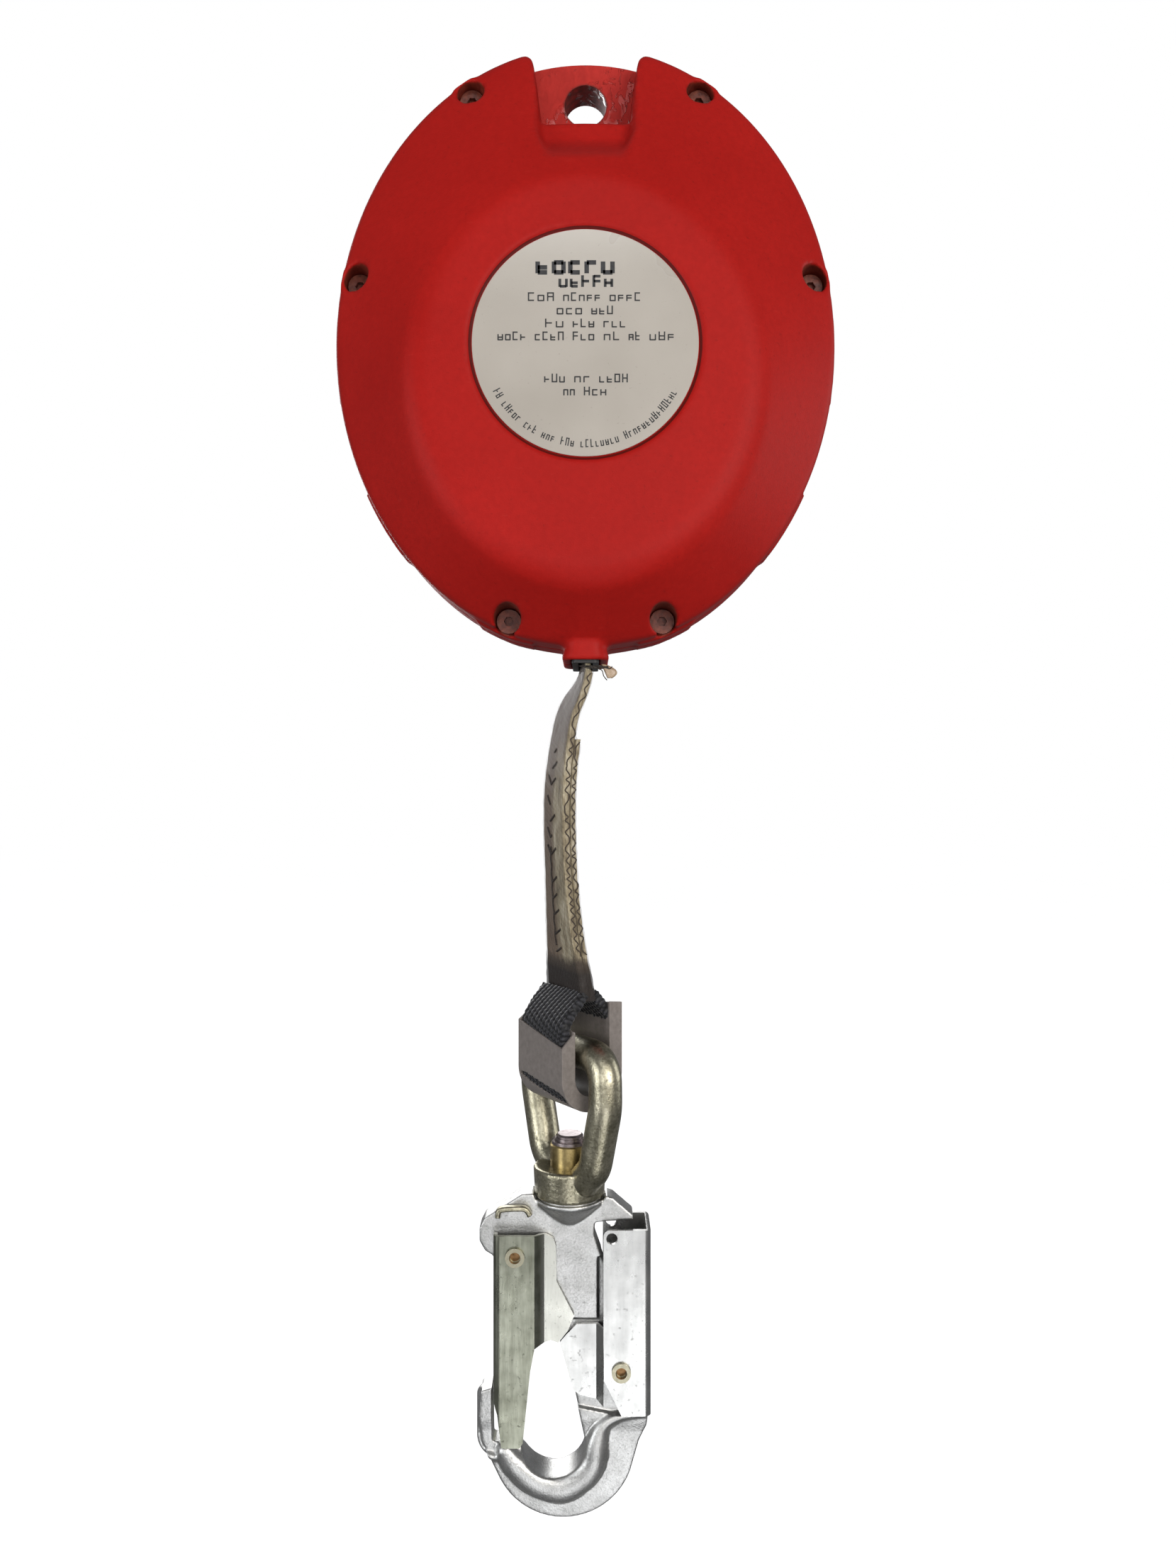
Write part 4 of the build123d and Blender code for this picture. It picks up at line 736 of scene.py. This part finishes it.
# %% Smoky film
def smoky_film():
    bench = Bench("smoky_film", Specular_IOR_Level=0.12)
    wrinkle = bench.noise(bench.stretched(bench.place(), (1, 1, 0.4)), 130, 3, 0.6, 0.4)
    w, along, t = bench.axes(bench.strand())
    low = bench.between(along, -0.2900, -0.2845, 1.0, 0.0)
    tone = bench.ramp(wrinkle, [(0.3, (0.13, 0.093, 0.066)), (0.7, (0.23, 0.175, 0.125))])
    tone = bench.mix(low, tone, (0.045, 0.038, 0.035))
    thick = bench.between(low, 0.0, 1.0, 0.16, 0.62)
    return bench.finish(
        Base_Color=tone,
        Alpha=thick + bench.between(wrinkle, 0.55, 0.75) * 0.12,
        Roughness=bench.between(wrinkle, 0.3, 0.7, 0.22, 0.40),
        Normal=bench.bump(wrinkle, 0.0010, 0.6),
    )


FILM = smoky_film()

# %% The sleeve's skin
film_rings, film_strands = [], []
film_steps = 150
for index in range(film_steps + 1):
    z = -189.6 + (-297.9 + 189.6) * index / film_steps
    middle, through, across = web_frame(z)
    double = min(max((TAIL_TOP + 1.0 - z) / 3.0, 0.0), 1.0)
    flare = min(max((-287.0 - z) / 10.0, 0.0), 1.0)
    half_through = 1.60 + 1.05 * double + 0.3 * flare
    shift = 0.35 + 1.0 * double
    ring, strand = [], []
    for t, w in round_outline(half_through, HALF_WEB + 0.5, 1.2):
        hang = -4.2 * flare * (1 - (w / HALF_WEB) ** 2) * 0.25 - 2.2 * flare * (w / HALF_WEB)
        crease = 0.10 * math.sin(z * 1.3 + w * 0.5) * math.sin(z * 0.37)
        ring.append(middle + through * (t + shift + crease) + across * w + Vector((0, 0, hang * 0.55)))
        strand.append((w, z, t))
    film_rings.append(ring)
    film_strands.append(strand)
film = skin("shrink_film", film_rings, FILM, "line", caps=False, strands=film_strands)
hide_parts("shrink_sleeve")


# %% [markdown]
# ## Stitching
# Dark thread runs in a zigzag along the edge of each layer, and bolder stitches in the shape of
# arrows hold the tail. Each stitch is a thin tube laid on the cloth.

# %% Dark thread
THREAD = plain_matter("dark_thread", (0.016, 0.013, 0.012), (0.060, 0.050, 0.043), 0.7, 1500, 0.0002, 0.2)


def on_cloth(z, w, t):
    """A point on the cloth, from its height and its distance across and through."""
    middle, through, across = web_frame(z)
    return middle + through * t + across * w


def edge_zigzag(top, bottom, centre, swing, seed):
    dice = random.Random(seed)
    line = []
    z, side = top, 1
    while z > bottom:
        reach = swing * (0.75 + 0.5 * dice.random())
        line.append(on_cloth(z, HALF_WEB + 0.12, centre + side * reach))
        z -= 0.9 + 1.3 * dice.random()
        side = -side if dice.random() < 0.85 else side
    return smooth_run(line, 3)


edge_lines = [
    edge_zigzag(-190.5, -284.5, 0.50, 0.62, 3),
    edge_zigzag(TAIL_TOP - 1, -284.5, TAIL_SHIFT, 0.55, 5),
]
threads("edge_stitches", edge_lines, 0.22, THREAD, "line")

# %% Arrow stitches on the broad face
FACE_T = -LAYER / 2 - 0.1
arrow_lines = []
dice = random.Random(17)
# Height, whether a left barb is there, and the size of the right one.
ARROWS = [
    (-213.0, 0, 1.2), (-218.5, 0, 3.0), (-224.0, 1, 3.0), (-231.0, 1, 0.0),
    (-236.5, 0, 3.2), (-242.0, 1, 1.0), (-248.0, 1, 3.6), (-257.5, 0, 3.4),
    (-263.0, 0, 2.8), (-268.5, 0, 3.2), (-275.0, 0, 3.0), (-281.0, 0, 2.6),
]
for z, left, right in ARROWS:
    centre = -2.6 + 0.4 * dice.random()
    if right:
        barb = [(-3.2 + k * right * 0.45, k * right * 1.15) for k in (0, 0.4, 1, 1.5)]
        arrow_lines.append([on_cloth(z + rise, centre + w, FACE_T) for rise, w in barb])
    if left:
        barb = [(-3.0 + k * 2.1, -k * 2.7) for k in (0, 0.4, 1.0, 1.4)]
        arrow_lines.append([on_cloth(z + rise, centre + w, FACE_T) for rise, w in barb])
spine = [on_cloth(-248.5 - 1.6 * k, -2.5 + 0.35 * math.sin(1.9 * k), FACE_T) for k in range(22)]
arrow_lines.append(smooth_run(spine, 2))
arrow_runs = [smooth_run(line, 3) if len(line) == 4 else line for line in arrow_lines]
threads("arrow_stitches", arrow_runs, 0.42, THREAD, "line")

# %% [markdown]
# ## The sewn loop
# Below the sleeve the webbing opens into a loop, covered by a coarse black basket weave. The
# weave is real relief: every strand is a small swelling of a fine skin.

# %% The loop's plane
LINE_X = -5.4
YAW = math.radians(35)
LOOP_ORIGIN = Vector((LINE_X, 0, 0))
THROUGH = Vector((math.cos(YAW), math.sin(YAW), 0))
ACROSS = Vector((math.sin(YAW), -math.cos(YAW), 0))
COVER_OUT = 11.45
LOOP_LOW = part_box("loop_cover")[0].z / MM + COVER_OUT
print("loop centre height", round(LOOP_LOW, 2))


def loop_point(u, w, z):
    return LOOP_ORIGIN + THROUGH * u + ACROSS * w + Vector((0, 0, z))


def loop_path(radius, top_z, foot, step=0.35):
    """Points and outward ways down the left leg, round the bottom and up the right leg."""
    rough = [(-foot, top_z), (-foot - (radius - foot) * 0.53, top_z - 4.6), (-radius * 0.93, top_z - 9.0)]
    rough += [(-radius, top_z - 13.0), (-radius, LOOP_LOW)]
    left = [(p[0], p[1]) for p in smooth_run([(u, z, 0) for u, z in rough], 12)]
    turns = [math.pi * k / 48 for k in range(1, 48)]
    arc = [(-radius * math.cos(turn), LOOP_LOW - radius * math.sin(turn)) for turn in turns]
    right = [(-u, z) for u, z in reversed(left)]
    return even_path(left + arc + right, step)


def even_path(points, step):
    lengths = [0.0]
    for (u0, z0), (u1, z1) in zip(points, points[1:]):
        lengths.append(lengths[-1] + math.hypot(u1 - u0, z1 - z0))
    count = int(lengths[-1] / step)
    made, row = [], 0
    for index in range(count + 1):
        want = lengths[-1] * index / count
        while row < len(lengths) - 2 and lengths[row + 1] < want:
            row += 1
        share = (want - lengths[row]) / max(lengths[row + 1] - lengths[row], 1e-9)
        u = points[row][0] + (points[row + 1][0] - points[row][0]) * share
        z = points[row][1] + (points[row + 1][1] - points[row][1]) * share
        made.append((u, z, want))
    return made


def path_normals(path):
    ways = []
    for index in range(len(path)):
        before, after = path[max(index - 1, 0)], path[min(index + 1, len(path) - 1)]
        du, dz = after[0] - before[0], after[1] - before[1]
        size = math.hypot(du, dz)
        ways.append((dz / size, -du / size))
    return ways


# %% Basket weave on the loop
def black_weave():
    bench = Bench("black_weave", Specular_IOR_Level=0.35, Sheen_Weight=0.2, Sheen_Roughness=0.4)
    w, along, t = bench.axes(bench.strand())
    fibre = bench.noise(bench.place(), 2400, 2, 0.7)
    turn_a = (w * 0.94 + along * 0.34) * (math.pi / (2.0 * MM))
    turn_b = (along * 0.94 - w * 0.34) * (math.pi / (1.7 * MM))
    crown = abs(turn_a.sine() * turn_b.sine())
    black = [(0.25, (0.0018, 0.0018, 0.0026)), (0.95, (0.024, 0.024, 0.030))]
    # Painted shade: the colour follows the weave's relief, darkest in the gaps between strands and lightest
    # on their crowns.
    tone = bench.ramp(crown * 0.8 + fibre * 0.25, black)
    return bench.finish(
        Base_Color=tone,
        Roughness=bench.between(fibre, 0.3, 0.7, 0.42, 0.62),
        Normal=bench.bump(crown + fibre * 0.3, 0.0004, 0.8),
    )


WEAVE = black_weave()
COVER_HALF = 12.7
COVER_MIDDLE = 9.75


def weave_loop():
    path = loop_path(COVER_MIDDLE, -297.0, 1.7, 0.42)
    ways = path_normals(path)
    outline = round_outline(1.65, COVER_HALF, 1.5, 4, 62)
    rings, strands = [], []
    for (u, z, along), (nu, nz) in zip(path, ways):
        ring, strand = [], []
        for t, w in outline:
            a = (w * 0.94 + along * 0.34) * math.pi / 2.0
            b = (along * 0.94 - w * 0.34) * math.pi / 1.7
            swell = 0.42 * abs(math.sin(a) * math.sin(b)) * (1 if t > 0 else -1)
            out = t + swell
            ring.append(loop_point(u + nu * out, w, z + nz * out))
            strand.append((w, along, t))
        rings.append(ring)
        strands.append(strand)
    return skin("loop_weave", rings, WEAVE, "line", strands=strands)


loop_weave = weave_loop()
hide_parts("loop_cover")

# %% [markdown]
# ## The moulded guard
# A grey moulding grips the bottom of the loop and keeps the eye off the weave. It is a sleeve
# that wraps each leg, with a slanting top edge and a window low on each outer side. The sleeve
# is a grid of points round the leg and along the loop; faces inside the window are left out.

# %% Guard
GUARD_OUT = 12.1
GUARD_IN = 6.95
GUARD_HALF = 13.5


def guard_edge(left, inside, w):
    """How high the guard reaches at a place round its section; inside goes from 0 to 1."""
    near = (w + GUARD_HALF) / (2 * GUARD_HALF)
    if left:
        outer = -307.8 - 5.6 * near
        inner = -304.0 - 4.5 * near
    else:
        outer = -305.0 + 4.6 * near
        inner = -304.5 + 4.7 * near
    return outer * (1 - inside) + inner * inside


def guard_section():
    """Round the leg: (offset from the middle, across, which side), outside face first."""
    half = (GUARD_OUT - GUARD_IN) / 2
    marks = []
    for k in range(61):
        marks.append((half, -GUARD_HALF + 2 * GUARD_HALF * k / 60, -1.0))
    for k in range(1, 12):
        marks.append((half - 2 * half * k / 12, GUARD_HALF, -1.0 + 2.0 * k / 12))
    for k in range(61):
        marks.append((-half, GUARD_HALF - 2 * GUARD_HALF * k / 60, 1.0))
    for k in range(1, 12):
        marks.append((-half + 2 * half * k / 12, -GUARD_HALF, 1.0 - 2.0 * k / 12))
    return marks


def in_window(w, z, left):
    """The window low on a leg's outer side, a leaf that widens toward the near corner."""
    share = ((w if left else -w) + 13.2) / 25.6
    if not 0 < share < 1:
        return False
    high = LOOP_LOW - 0.9 - 4.2 * share
    low = LOOP_LOW - 3.0 - 7.4 * share
    trim = 0.9 * (max(0.0, share - 0.85) / 0.15) ** 2 + 0.6 * (max(0.0, 0.2 - share) / 0.2)
    return low + trim < z < high - trim


def guard_mesh():
    middle = (GUARD_OUT + GUARD_IN) / 2
    marks = guard_section()
    columns = len(marks)
    legs = 64
    arcs = 72
    points, keep = [], []
    rows = 2 * legs + arcs + 1
    for row in range(rows):
        for column, (offset, w, side) in enumerate(marks):
            top = guard_edge(row <= rows / 2, (side + 1) / 2, w)
            if row < legs:
                z = top + (LOOP_LOW - top) * row / legs
                u, nu, nz = -middle, -1.0, 0.0
            elif row <= legs + arcs:
                turn = math.pi * (row - legs) / arcs
                u, z = -middle * math.cos(turn), LOOP_LOW - middle * math.sin(turn)
                nu, nz = -math.cos(turn), -math.sin(turn)
            else:
                z = LOOP_LOW + (top - LOOP_LOW) * (row - legs - arcs) / legs
                u, nu, nz = middle, 1.0, 0.0
            pinch = 1.0 - 0.05 * max(0.0, (LOOP_LOW - z) / 12.0) ** 2
            spot = (u + nu * offset, w * pinch, z + nz * offset)
            points.append(loop_point(*spot))
            keep.append((*spot, offset > 2.4))
    faces = []
    for row in range(rows - 1):
        for column in range(columns):
            after = (column + 1) % columns
            corner = [row * columns + column, row * columns + after]
            corner += [(row + 1) * columns + after, (row + 1) * columns + column]
            u = sum(keep[c][0] for c in corner) / 4
            w = sum(keep[c][1] for c in corner) / 4
            z = sum(keep[c][2] for c in corner) / 4
            outer = all(keep[c][3] for c in corner)
            if outer and in_window(w, z, u < 0):
                continue
            faces.append(tuple(corner))
    return points, faces


guard_points, guard_faces = guard_mesh()
guard = build("loop_guard", guard_points, guard_faces, GUARD_GREY)
thick = guard.modifiers.new("wall", "SOLIDIFY")
thick.thickness = 0.75 * MM
thick.offset = -1
soften = guard.modifiers.new("soft_edges", "BEVEL")
soften.width = 0.3 * MM
soften.segments = 2
soften.limit_method = "ANGLE"
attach(guard, "line")
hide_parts("loop_thimble")

# %% [markdown]
# ## Forgings and mouldings
# The eye and the hook are forged, and the covers are moulded, so none of their edges is sharp.
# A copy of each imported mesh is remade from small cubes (a voxel remesh) and smoothed, which
# rounds every edge and inner corner the way a die or a mould does. A vertex group named "soft"
# holds back the smoothing where a crisp step has to stay.

# %% Remake a node with soft edges
def soften_node(node, name, body, material, cube, passes, hold=None, shape=None):
    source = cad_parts[node]
    rough = bpy.data.objects.new(name + "_rough", source.data.copy())
    scene.collection.objects.link(rough)
    remesh = rough.modifiers.new("cubes", "REMESH")
    remesh.mode = "VOXEL"
    remesh.voxel_size = cube * MM
    mesh = evaluated(rough)
    if shape:
        for vertex in mesh.vertices:
            vertex.co = shape(vertex.co / MM) * MM
    rough.data = mesh
    rough.modifiers.clear()
    group = rough.vertex_groups.new(name="soft")
    loose = [v.index for v in mesh.vertices if not (hold and hold(v.co / MM))]
    group.add(loose, 1.0, "REPLACE")
    even = rough.modifiers.new("even", "SMOOTH")
    even.factor = 0.5
    even.iterations = passes
    even.vertex_group = "soft"
    mesh = evaluated(rough)
    bpy.data.objects.remove(rough)
    mesh.name = name
    mesh.materials.clear()
    mesh.materials.append(material)
    mesh.polygons.foreach_set("use_smooth", [True] * len(mesh.polygons))
    made = bpy.data.objects.new(name, mesh)
    scene.collection.objects.link(made)
    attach(made, body)
    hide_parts(node)
    print("softened", name, len(mesh.vertices), "vertices")
    return made


def evaluated(thing):
    graph = bpy.context.evaluated_depsgraph_get()
    return bpy.data.meshes.new_from_object(thing.evaluated_get(graph))


def ease(value, low, high):
    share = min(max((value - low) / (high - low), 0.0), 1.0)
    return share * share * (3 - 2 * share)


# %% Covers with a scoop below the notch and a lip round the exit
def shape_cover(point):
    x, y, z = point
    side = -1 if y < 0 else 1
    # The scoop is deepest where the cover stands furthest out, and fades to its sides and foot.
    deep = ease(abs(y), 12.0, 27.0)
    half = 15.6 - 2.6 * ease(-z, 17.0, 30.0)
    dip = deep * ease(z, -33.0, -21.0) * ease(half - abs(x), -0.8, 2.6)
    y -= side * 6.5 * dip
    z += 2.6 * dip * ease(z, -21.0, -17.5)
    # The horns beside the notch are rounded off towards it.
    inner = ease(21.5 - abs(x), 0.0, 5.5) * ease(z, 4.0, 14.0)
    z -= 3.6 * inner * inner
    # The lip is drawn in to a waist and a little shorter.
    if z < -179.0:
        drop = ease(-z, 179.0, 188.0)
        x *= 1.0 - 0.10 * math.sin(math.pi * min(drop * 1.15, 1.0)) + 0.02 * drop
        z = -179.0 + (z + 179.0) * 0.86
    return Vector((x, y, z))


def label_zone(point):
    return abs(point.y) > 26.0 and math.hypot(point.x, point.z - LABEL_Z) < 39.5


for node in ("front_cover", "rear_cover"):
    soft_cover = soften_node(node, "soft_" + node, "housing", RED, 0.8, 6, label_zone, shape_cover)

# %% The bead of the hook
# Sideways from the hook's own axis, height, and the radius of the ridge there.
BEAD = [
    (26.3, -438.6, 1.2), (16.8, -439.9, 1.5), (11.3, -442.9, 2.3), (9.1, -448.4, 3.5),
    (7.9, -455.3, 4.3), (4.0, -460.4, 4.7), (-2.8, -463.8, 4.9), (-10.6, -462.1, 4.8),
    (-17.4, -457.0, 4.3), (-21.6, -451.5, 3.0),
]
BEAD_RUN = [tuple(p) for p in smooth_run(BEAD, 6)]
NOSE_RIM = [
    (-33.6, -431.5, 1.1), (-33.0, -440.0, 1.1), (-31.2, -449.5, 1.2),
    (-29.6, -452.3, 1.2), (-24.5, -453.6, 1.2),
]
NOSE_RUN = [tuple(p) for p in smooth_run(NOSE_RIM, 5)]
print("points on the bead and the nose rim", len(BEAD_RUN), len(NOSE_RUN))


def bead_height(u, z, run, rise, most):
    """Height of a rounded ridge above the flat face, from the nearest point of its line."""
    best = 0.0
    for bead_u, bead_z, radius in run:
        away = (u - bead_u) ** 2 + (z - bead_z) ** 2
        if away < radius * radius:
            best = max(best, min(most, radius * rise) * math.sqrt(1 - away / (radius * radius)))
    return best


def shape_hook(point):
    x, y, z = point
    u = x - LINE_X
    if z > -430.0:
        return point
    side = -1 if y < 0 else 1
    flat = min(abs(y), 4.5)
    share = flat / 4.5
    sunk = 0.7 * ease(-z, 440.0, 446.0)
    lift = bead_height(u, z, BEAD_RUN, 0.75, 2.9) if z < -437.0 else 0.0
    lift = max(lift, bead_height(u, z, NOSE_RUN, 0.9, 1.0))
    return Vector((x, side * (flat + share * (lift or -sunk)), z))


# %% Eye and hook
forged_eye = soften_node("swivel_eye", "forged_eye", "eye", EYE_ZINC, 0.45, 6)
swell = forged_eye.modifiers.new("swell", "DISPLACE")
swell.strength = 0.55 * MM
swell.mid_level = 0.0
forged_hook = soften_node("hook_body", "forged_hook", "hook", HOOK_ZINC, 0.40, 9, None, shape_hook)

# %% [markdown]
# ## Sheet metal edges
# Pressed sheet has small round edges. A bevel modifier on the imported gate, lever, rivets, collar
# and pin catches the light along them without changing their shape.

# %% Bevels on hard nodes
EDGES = {
    "gate": 0.25,
    "lock_lever": 0.25,
    "gate_rivet": 0.15,
    "lever_rivet": 0.15,
    "swivel_collar": 0.2,
    "swivel_pin": 0.2,
}
for name, width in EDGES.items():
    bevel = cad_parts[name].modifiers.new("edge", "BEVEL")
    bevel.width = width * MM
    bevel.segments = 2
    bevel.limit_method = "ANGLE"
    bevel.angle_limit = math.radians(40)
print("edges rounded on", len(EDGES), "nodes")

# %% [markdown]
# ## Print on the label
# The label carries lines of small print. Only the rhythm of words is kept: each letter is two to
# four plain strokes that say nothing, in straight lines and one line on an arc.

# %% Strokes for letters
LABEL_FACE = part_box("label_disc")[0].y / MM - 0.02
print("label face", round(LABEL_FACE, 2))
print_points, print_faces = [], []


def ink_bar(place, along, up, width, height):
    base = len(print_points)
    for sx, sy in [(-1, -1), (1, -1), (1, 1), (-1, 1)]:
        print_points.append(place + along * (sx * width / 2) + up * (sy * height / 2))
    print_faces.append((base, base + 1, base + 2, base + 3))


def glyph(place, along, up, wide, tall, bold, dice):
    """A letter that says nothing: one or two upright strokes and one or two flat ones."""
    high = tall * dice.choice([0.7, 0.7, 1.0])
    stroke = tall * 0.16 * bold
    ink_bar(place + up * ((high - tall) / 2), along, up, stroke, high)
    for share in dice.sample([0.08, 0.5, 0.92], dice.choice([1, 2])):
        flat = place + up * (high * share - tall / 2) + along * (wide * 0.5)
        ink_bar(flat, along, up, wide, stroke)
    if dice.random() < 0.5:
        ink_bar(place + up * ((high - tall) / 2) + along * wide, along, up, stroke, high)


def print_line(z, left, right, tall, words, seed, bold=1.0):
    dice = random.Random(seed)
    spaces = words - 1
    total = right - left
    shares = [0.6 + dice.random() for _ in range(words)]
    room = total - spaces * tall * 0.8
    x = left
    for share in shares:
        length = room * share / sum(shares)
        letters = max(2, int(length / (tall * 0.85)))
        cell = length / letters
        for letter in range(letters):
            left_edge = Vector((x + cell * (letter + 0.3), LABEL_FACE, z))
            glyph(left_edge, Vector((1, 0, 0)), Vector((0, 0, 1)), cell * 0.58, tall, bold, dice)
        x += length + tall * 0.8


print_line(-67.0, -16.2, 9.0, 5.2, words=1, seed=1, bold=1.7)
print_line(-72.0, -8.9, 8.6, 3.6, words=1, seed=2, bold=1.5)
for z, left, right, words, seed in [
    (-76.8, -18.4, 17.2, 3, 3),
    (-80.9, -9.5, 8.6, 2, 4),
    (-84.9, -13.2, 12.6, 3, 5),
    (-88.9, -27.6, 27.6, 6, 6),
    (-101.9, -13.2, 13.2, 3, 7),
    (-105.9, -7.2, 6.6, 2, 8),
]:
    print_line(z, left, right, 2.7, words, seed)
arc_dice = random.Random(29)
for step in range(44):
    if step in (2, 8, 12, 16, 20, 29):
        continue
    turn = math.radians(-152 + 122 * step / 43)
    radial = Vector((math.cos(turn), 0, math.sin(turn)))
    along = Vector((-math.sin(turn), 0, math.cos(turn)))
    place = radial * 31.0 + Vector((0, LABEL_FACE, LABEL_Z))
    glyph(place, along, -radial, 0.72, 2.5, 0.85, arc_dice)
label_print = build("label_print", print_points, print_faces, INK, "housing")

# %% [markdown]
# ## Small things at the exit
# Threads fray where the webbing leaves the lip, and a small flap of tan tape sticks out on the
# right. A bent tab on the hook's shoulder stops the gate.

# %% Frayed threads and tape flap
fray = []
fray_dice = random.Random(41)
for index in range(14):
    x = -2.2 + 6.5 * index / 13
    start = Vector((x, -13.2 - 0.5 * fray_dice.random(), -188.2))
    line = [start]
    for step in range(1, 6):
        right = 0.9 * step * (0.6 + 0.5 * fray_dice.random())
        back = 0.2 * fray_dice.random()
        drop = 0.28 * step * fray_dice.random()
        line.append(start + Vector((right, back, -drop)))
    fray.append(smooth_run(line, 3))
tail = Vector((4.2, -13.3, -189.0))
tail_bends = [(0, 0, 0), (1.3, -0.2, -0.9), (1.8, -0.3, -2.6), (2.9, -0.3, -4.0)]
fray.append(smooth_run([tail + Vector(bend) for bend in tail_bends], 4))
threads("frayed_threads", fray, 0.16, THREAD, "line")

flap = []
for row in range(9):
    z = -187.7 - 4.6 * row / 8
    bulge = math.sin(math.pi * (row + 1.2) / 10.5)
    places = [(5.2 + 0.25 * row + k * 0.84 * bulge, -13.0 - 0.3 * math.sin(k * 0.7)) for k in range(6)]
    flap.append([Vector((x, y, z)) for x, y in places])
TAPE = plain_matter("tan_tape", (0.28, 0.19, 0.12), (0.42, 0.31, 0.21), 0.3, 300, 0.0003, 0.5)
tape_flap = skin("tape_flap", flap, TAPE, None, round_ring=False, caps=False)
flap_wall = tape_flap.modifiers.new("film", "SOLIDIFY")
flap_wall.thickness = 0.2 * MM
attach(tape_flap, "line")

# %% The shoulder tab
def bent_bar(name, points, half_width, half_depth, material, body):
    rings = []
    last = len(points) - 1
    for index, (u, y, z) in enumerate(points):
        ahead = Vector(points[min(index + 1, last)]) - Vector(points[max(index - 1, 0)])
        ahead.normalize()
        side = ahead.cross(Vector((0, 1, 0))).normalized()
        depth = Vector((0, 1, 0))
        ring = []
        for t, w in round_outline(half_width, half_depth, min(half_width, half_depth) * 0.8, 4, 2):
            ring.append(Vector((u + LINE_X, y, z)) + side * t + depth * w)
        rings.append(ring)
    return skin(name, rings, material, body)


TAB_LINE = [
    (-24.0, -6.0, -372.2), (-23.4, -6.2, -369.8), (-20.0, -6.3, -369.2),
    (-15.0, -6.2, -369.3), (-13.2, -6.0, -371.6),
]
tab_run = [tuple(p) for p in smooth_run(TAB_LINE, 6)]
tab = bent_bar("gate_stop_tab", tab_run, 0.9, 1.4, EYE_ZINC, "hook")
